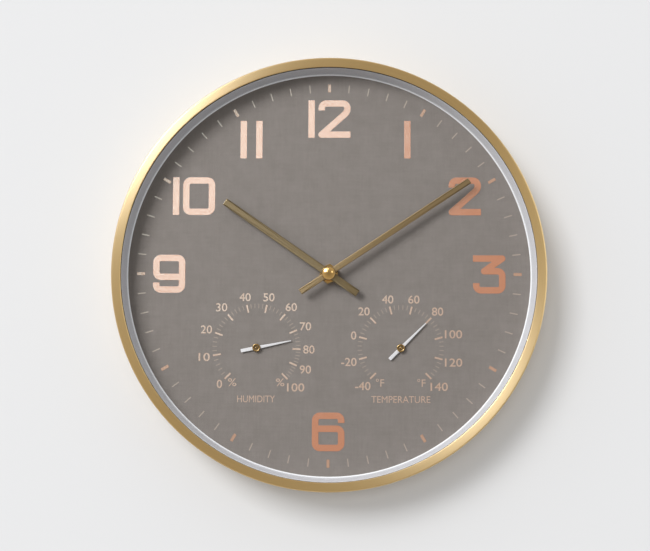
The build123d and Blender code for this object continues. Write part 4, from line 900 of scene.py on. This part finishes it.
cap_socket, cap_floor = cap_ring_low + cap_socket_depth, cap_ring_high - cap_groove_depth
cap_pin_top, floor_tolerance = cap_ring_high - cap_pin_drop, 0.05
cap_ring_profile = rounded_profile(
    [
        (0.0, cap_socket, 0),
        (cap_arbor_radius, cap_socket, 0),
        (cap_arbor_radius, cap_ring_low, 0),
        (cap_ring_radius, cap_ring_low, 0),
        (cap_ring_radius, cap_ring_high, cap_rim_corner),
        (cap_groove_radius, cap_ring_high, cap_groove_corner),
        (cap_groove_radius, cap_floor, 0),
        (cap_pin_radius, cap_floor, 0),
        (cap_pin_radius, cap_pin_top, cap_pin_corner),
        (0.0, cap_pin_top, 0),
    ],
    count=7,
)
cap_rings = []
for gauge, spot in gauge_spots.items():
    outline = turned_outline(needle_outline(), needle_angles[gauge])
    pointer = follow_outline(gauge + "_pointer", outline, gauge + "_needle", needle_low, needle_high,
                             needle_bore, needle_edge, hub=spot)
    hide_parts(gauge + "_needle")
    cap = gauge + "_needle_cap"
    cap_ring = turned_piece(gauge + "_cap_ring", cap_ring_profile, cap, spot, cap_ring_steps)
    cap_ring.data.materials.append(shadowed_brass)
    darken_floor(cap_ring.data, cap_floor + floor_tolerance)
    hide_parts(gauge + "_needle_cap")
    cap_rings.append(cap_ring)
print("needle outline points:", len(needle_outline()))

# %% [markdown]
# The words and small numbers are printed on the dial in a paler copper ink. They are set in
# Blender's own plain typeface, turned into flat meshes, and scaled to the sizes read off the
# clock's dial. Each number finds its own place from its angle on the scale.

# %% Printed labels
print_lift, letter_steps = 0.05, 4
digit_height, digit_width, digit_gap, minus_width, digit_weight = 6.8, 0.72, 0.07, 0.5, 0.01
number_clearance = {"humidity": 38.4, "temperature": 37.0}
word_height, word_drop, word_width = 5.5, 41.9, {"humidity": 30.9, "temperature": 48.2}
unit_drop = 28.3
# each sign with its distance to the left and right, its height and its width
unit_signs = {"humidity": ("%", 19.7, 6.4, 7.0), "temperature": ("\u00b0F", 16.9, 6.4, 6.8)}


def set_text(words, centre, height, width, weight=0.0):
    """Outline of a text as a mesh: made by the font object, then moved so that its box is
    centred on a spot of the dial and scaled to a height and a width in millimetres."""
    curve = bpy.data.curves.new("lettering", "FONT")
    curve.body, curve.resolution_u, curve.offset = words, letter_steps, weight
    holder = add_object("lettering", curve)
    bpy.context.view_layer.update()
    flat = bpy.data.meshes.new_from_object(holder)
    spots = np.empty(len(flat.vertices) * 3)
    flat.vertices.foreach_get("co", spots)
    spots = spots.reshape(-1, 3)[:, :2]
    faces = [tuple(face.vertices) for face in flat.polygons]
    bpy.data.objects.remove(holder)
    bpy.data.meshes.remove(flat)
    low, high = spots.min(0), spots.max(0)
    scale = np.array([width, height]) / (high - low)
    placed = (spots - (low + high) / 2) * scale + np.array(centre)
    return placed, faces


def label_piece(gauge, texts):
    """One thin piece from many set texts: the lettering's faces, lifted just off the dial."""
    points, faces = [], []
    start = 0
    for placed, shapes in texts:
        points.append(np.insert(placed, 1, dial_top + print_lift, axis=1))
        faces += [tuple(start + corner for corner in shape) for shape in shapes]
        start += len(placed)
    return new_piece(gauge + "_lettering", np.concatenate(points), faces, gauge + "_scale", label_ink)


def number_width(words):
    """Width of a number, in shares of its height: one share a digit, less the gap after the
    last one, and a shorter share for the minus sign."""
    digits = len(words.replace("-", ""))
    return digit_height * (digit_width * digits - digit_gap + minus_width * words.count("-"))


def gauge_texts(gauge):
    """All lettering of a gauge. A number stands outside its tick: its box, half a width w and
    half a height h, just touches the clearance circle at the angle a, so its centre is at
    clearance + w |sin a| + h |cos a| from the gauge's centre."""
    across, up = gauge_spots[gauge]
    texts = []
    for reading, angle in number_angles[gauge].items():
        turn, width = math.radians(angle), number_width(str(reading))
        reach = abs(math.sin(turn)) * width / 2 + abs(math.cos(turn)) * digit_height / 2
        away = number_clearance[gauge] + reach
        centre = (across + away * math.sin(turn), up + away * math.cos(turn))
        texts.append(set_text(str(reading), centre, digit_height, width, digit_weight))
    sign, side, height, width = unit_signs[gauge]
    texts += [set_text(sign, (across + way * side, up - unit_drop), height, width) for way in (-1, 1)]
    texts.append(set_text(gauge.upper(), (across, up - word_drop), word_height, word_width[gauge]))
    return texts


humidity_lettering = label_piece("humidity", gauge_texts("humidity"))
temperature_lettering = label_piece("temperature", gauge_texts("temperature"))
print("lettering faces:", len(humidity_lettering.data.polygons), len(temperature_lettering.data.polygons))

# %% [markdown]
# The wall behind the clock and the lamps aren't part of the clock. The wall is pale and catches
# the clock's shadow. Seen from behind it is clear, by Geometry's Backfacing, so the back of the
# clock can be looked at. Its middle is cut out where the case hides it, or it would keep the
# light at the back off the clock.

# %% Wall of the room
wall_color, chalky = (0.62, 0.62, 0.625, 1), dict(Roughness=0.9, Specular_IOR_Level=0.1)
wall_radius, wall_gap, wall_tuck = 3000.0, 0.5, 0.3


def make_wall(steps=128):
    """Pale flat ring just behind the clock that is clear from its rear side. The edge of its
    round hole is tucked a little way in behind the case."""
    turn = 2 * np.pi * np.arange(steps) / steps
    circle = np.stack([np.cos(turn), 0 * turn, np.sin(turn)], -1) * MM
    spots = np.concatenate([circle * (case_radius - wall_tuck), circle * wall_radius])
    mesh = bpy.data.meshes.new("room_wall")
    mesh.from_pydata(spots.tolist(), [], grid_faces(2, steps, flip=True))
    material = bpy.data.materials.new("wall_paint")
    tree = fresh_tree(material)
    paint = node(tree, "ShaderNodeBsdfPrincipled", Base_Color=wall_color, **chalky)
    clear = tree.nodes.new("ShaderNodeBsdfTransparent")
    back = tree.nodes.new("ShaderNodeNewGeometry").outputs["Backfacing"]
    node(tree, "ShaderNodeOutputMaterial", Surface=mix_shaders(tree, back, paint, clear).outputs[0])
    mesh.materials.append(material)
    thing = add_object("room_wall", mesh)
    thing.location.y = wall_gap * MM
    return thing


room_wall = make_wall()
print("wall faces the room:", room_wall.data.polygons[0].normal.y < 0)

# %% [markdown]
# In the picture the shadow on the wall and the shadows on the dial fall at different slants, as
# they do when a product shot is put together from more than one exposure. No single lamp can
# cast both, so each lamp lights its own list of things: one for the wall, one for the case and
# the brass, one for all that lies under the glass. Weak fills soften the wall and the ring, and
# one from the right draws the thin bright line on the case's outer edge. The broad panels stand
# in for windows, which only shiny pieces show, so the camera doesn't see the panels themselves.

# %% Lamps and panels
def in_slot(slot):
    """The solids that are made of one stock."""
    return [thing for name, thing in nodes.items() if slot_of[name] == slot]


foil_pieces = [*in_slot("foil"), humidity_lettering, temperature_lettering]
brass_pieces = [*in_slot("brass"), cap_dome, *cap_rings]
meshes = [thing for thing in bpy.context.scene.objects if thing.type == "MESH"]
inner_pieces = [thing for thing in meshes if thing not in (*brass_pieces, room_wall, case_band)]


def area_lamp(name, tilt, turn, distance, size, power, color, lit=None, aim=(0.0, 0.0)):
    """Square lamp that looks at the dial: tilt is its angle off the dial's normal, and turn its
    direction round the dial, counted from +X towards +Z. Its light reaches the lit pieces only,
    or all of them; shadows still fall from every piece. aim is (x, z) in metres on the dial."""
    t, a = math.radians(tilt), math.radians(turn)
    direction = Vector((math.sin(t) * math.cos(a), -math.cos(t), math.sin(t) * math.sin(a)))
    data = bpy.data.lights.new(name, "AREA")
    data.shape, data.size, data.energy, data.color = "SQUARE", size, power, color
    lamp = add_object(name, data)
    lamp.location = Vector((aim[0], -dial_top * MM, aim[1])) + direction * distance
    lamp.rotation_mode = "QUATERNION"
    lamp.rotation_quaternion = direction.to_track_quat("Z", "Y")
    if lit:
        lamp.light_linking.receiver_collection = bpy.data.collections.new(name + "_lights")
        for thing in lit:
            lamp.light_linking.receiver_collection.objects.link(thing)
    return lamp


white, foil_panel_aim, hand_panel_aim = (1.0, 1.0, 1.0), (-0.27, 0.36), (-0.3, 0.0)
# name, tilt and turn in degrees, distance and size in metres, watts, colour, pieces lit, aim
lamps = (
    ("wall_lamp", 38.7, 135.0, 14.0, 5.6, 1380.0, white, [room_wall]),
    ("wall_fill", 0.0, 0.0, 14.0, 6.0, 600.0, (0.97, 0.99, 1.0), [room_wall]),
    ("case_lamp", 43.5, 136.0, 6.0, 2.4, 250.0, (0.93, 1.0, 1.22), [case_band, *brass_pieces]),
    ("edge_lamp", 72.0, 14.0, 3.0, 2.6, 26.0, (1.0, 1.0, 0.97), [case_band]),
    ("dial_lamp", 51.0, 143.0, 3.0, 1.2, 84.5, white, inner_pieces),
    ("ring_fill", 45.0, 10.0, 2.0, 1.0, 9.6, (0.94, 0.97, 1.0), [silver_band]),
    ("rear_lamp", 140.0, 120.0, 2.5, 1.5, 60.0, white),
)
panels = (
    ("soft_panel", 0.0, 0.0, 1.27, 0.7, 5.0, (0.76, 0.90, 0.86), foil_pieces, foil_panel_aim),
    ("hand_panel", 0.0, 0.0, 1.27, 0.6, 1.5, (1.0, 0.95, 0.78), [hour_strip, minute_strip], hand_panel_aim),
    ("window_panel", 41.0, 128.0, 2.0, 1.5, 12.0, (1.0, 0.97, 0.88), brass_pieces),
    ("side_panel", 34.0, 25.0, 2.0, 0.5, 1.4, (1.0, 0.93, 0.8), brass_pieces),
)
for row in lamps:
    area_lamp(*row)
for row in panels:
    area_lamp(*row).visible_camera = False
print("lamps:", len(lamps), "panels:", len(panels))

# %% [markdown]
# All round the clock stands a pale room. It is brighter to the sides and to the upper left than
# in front, which gives the dull pieces their soft shading. Shiny pieces mirror a warmer room,
# and the camera sees an even one.

# %% Room light
bright_side = (-0.74, 0.0, 0.67)
dull_room, shiny_room = (0.15, 0.72, 0.8), (0.6, 1.4, 0.2)
mirrored_tint, seen_level = (0.46, 0.39, 0.28, 1), 0.85


def room_level(tree, facing, towards_lamp, front, side, lean):
    """Brightness of the room in a direction: front + (side - front) s, times 1 + lean d, where s
    is the sine of the angle off the dial's normal and d the share towards the upper left."""
    sine = maths(tree, "SQRT", maths(tree, "SUBTRACT", 1.0, maths(tree, "MULTIPLY", facing, facing)))
    level = maths(tree, "ADD", front, maths(tree, "MULTIPLY", sine, side - front))
    leaning = maths(tree, "ADD", 1.0, maths(tree, "MULTIPLY", towards_lamp, lean))
    return maths(tree, "MULTIPLY", level, leaning)


def set_world():
    """Three backgrounds: for dull surfaces, for shiny ones and for rays from the camera. The
    first two vary with the direction, by (front, side, lean)."""
    world = bpy.data.worlds.new("studio")
    bpy.context.scene.world = world
    tree = fresh_tree(world)
    direction = tree.nodes.new("ShaderNodeTexCoord").outputs["Generated"]
    facing = parts_of(tree, direction)[1]
    towards_lamp = vector_maths(tree, "DOT_PRODUCT", direction, bright_side).node.outputs["Value"]
    levels = [room_level(tree, facing, towards_lamp, *room) for room in (dull_room, shiny_room)]
    light = node(tree, "ShaderNodeBackground", Color=(1, 1, 1, 1), Strength=levels[0])
    shine = node(tree, "ShaderNodeBackground", Color=mirrored_tint, Strength=levels[1])
    seen = node(tree, "ShaderNodeBackground", Color=(1, 1, 1, 1), Strength=seen_level)
    path = tree.nodes.new("ShaderNodeLightPath").outputs
    room = mix_shaders(tree, path["Is Glossy Ray"], light, shine)
    room = mix_shaders(tree, path["Is Camera Ray"], room, seen)
    node(tree, "ShaderNodeOutputWorld", Surface=room.outputs[0])
    return world


world = set_world()
bpy.context.scene.view_settings.view_transform = "Standard"
print("room nodes:", len(world.node_tree.nodes))
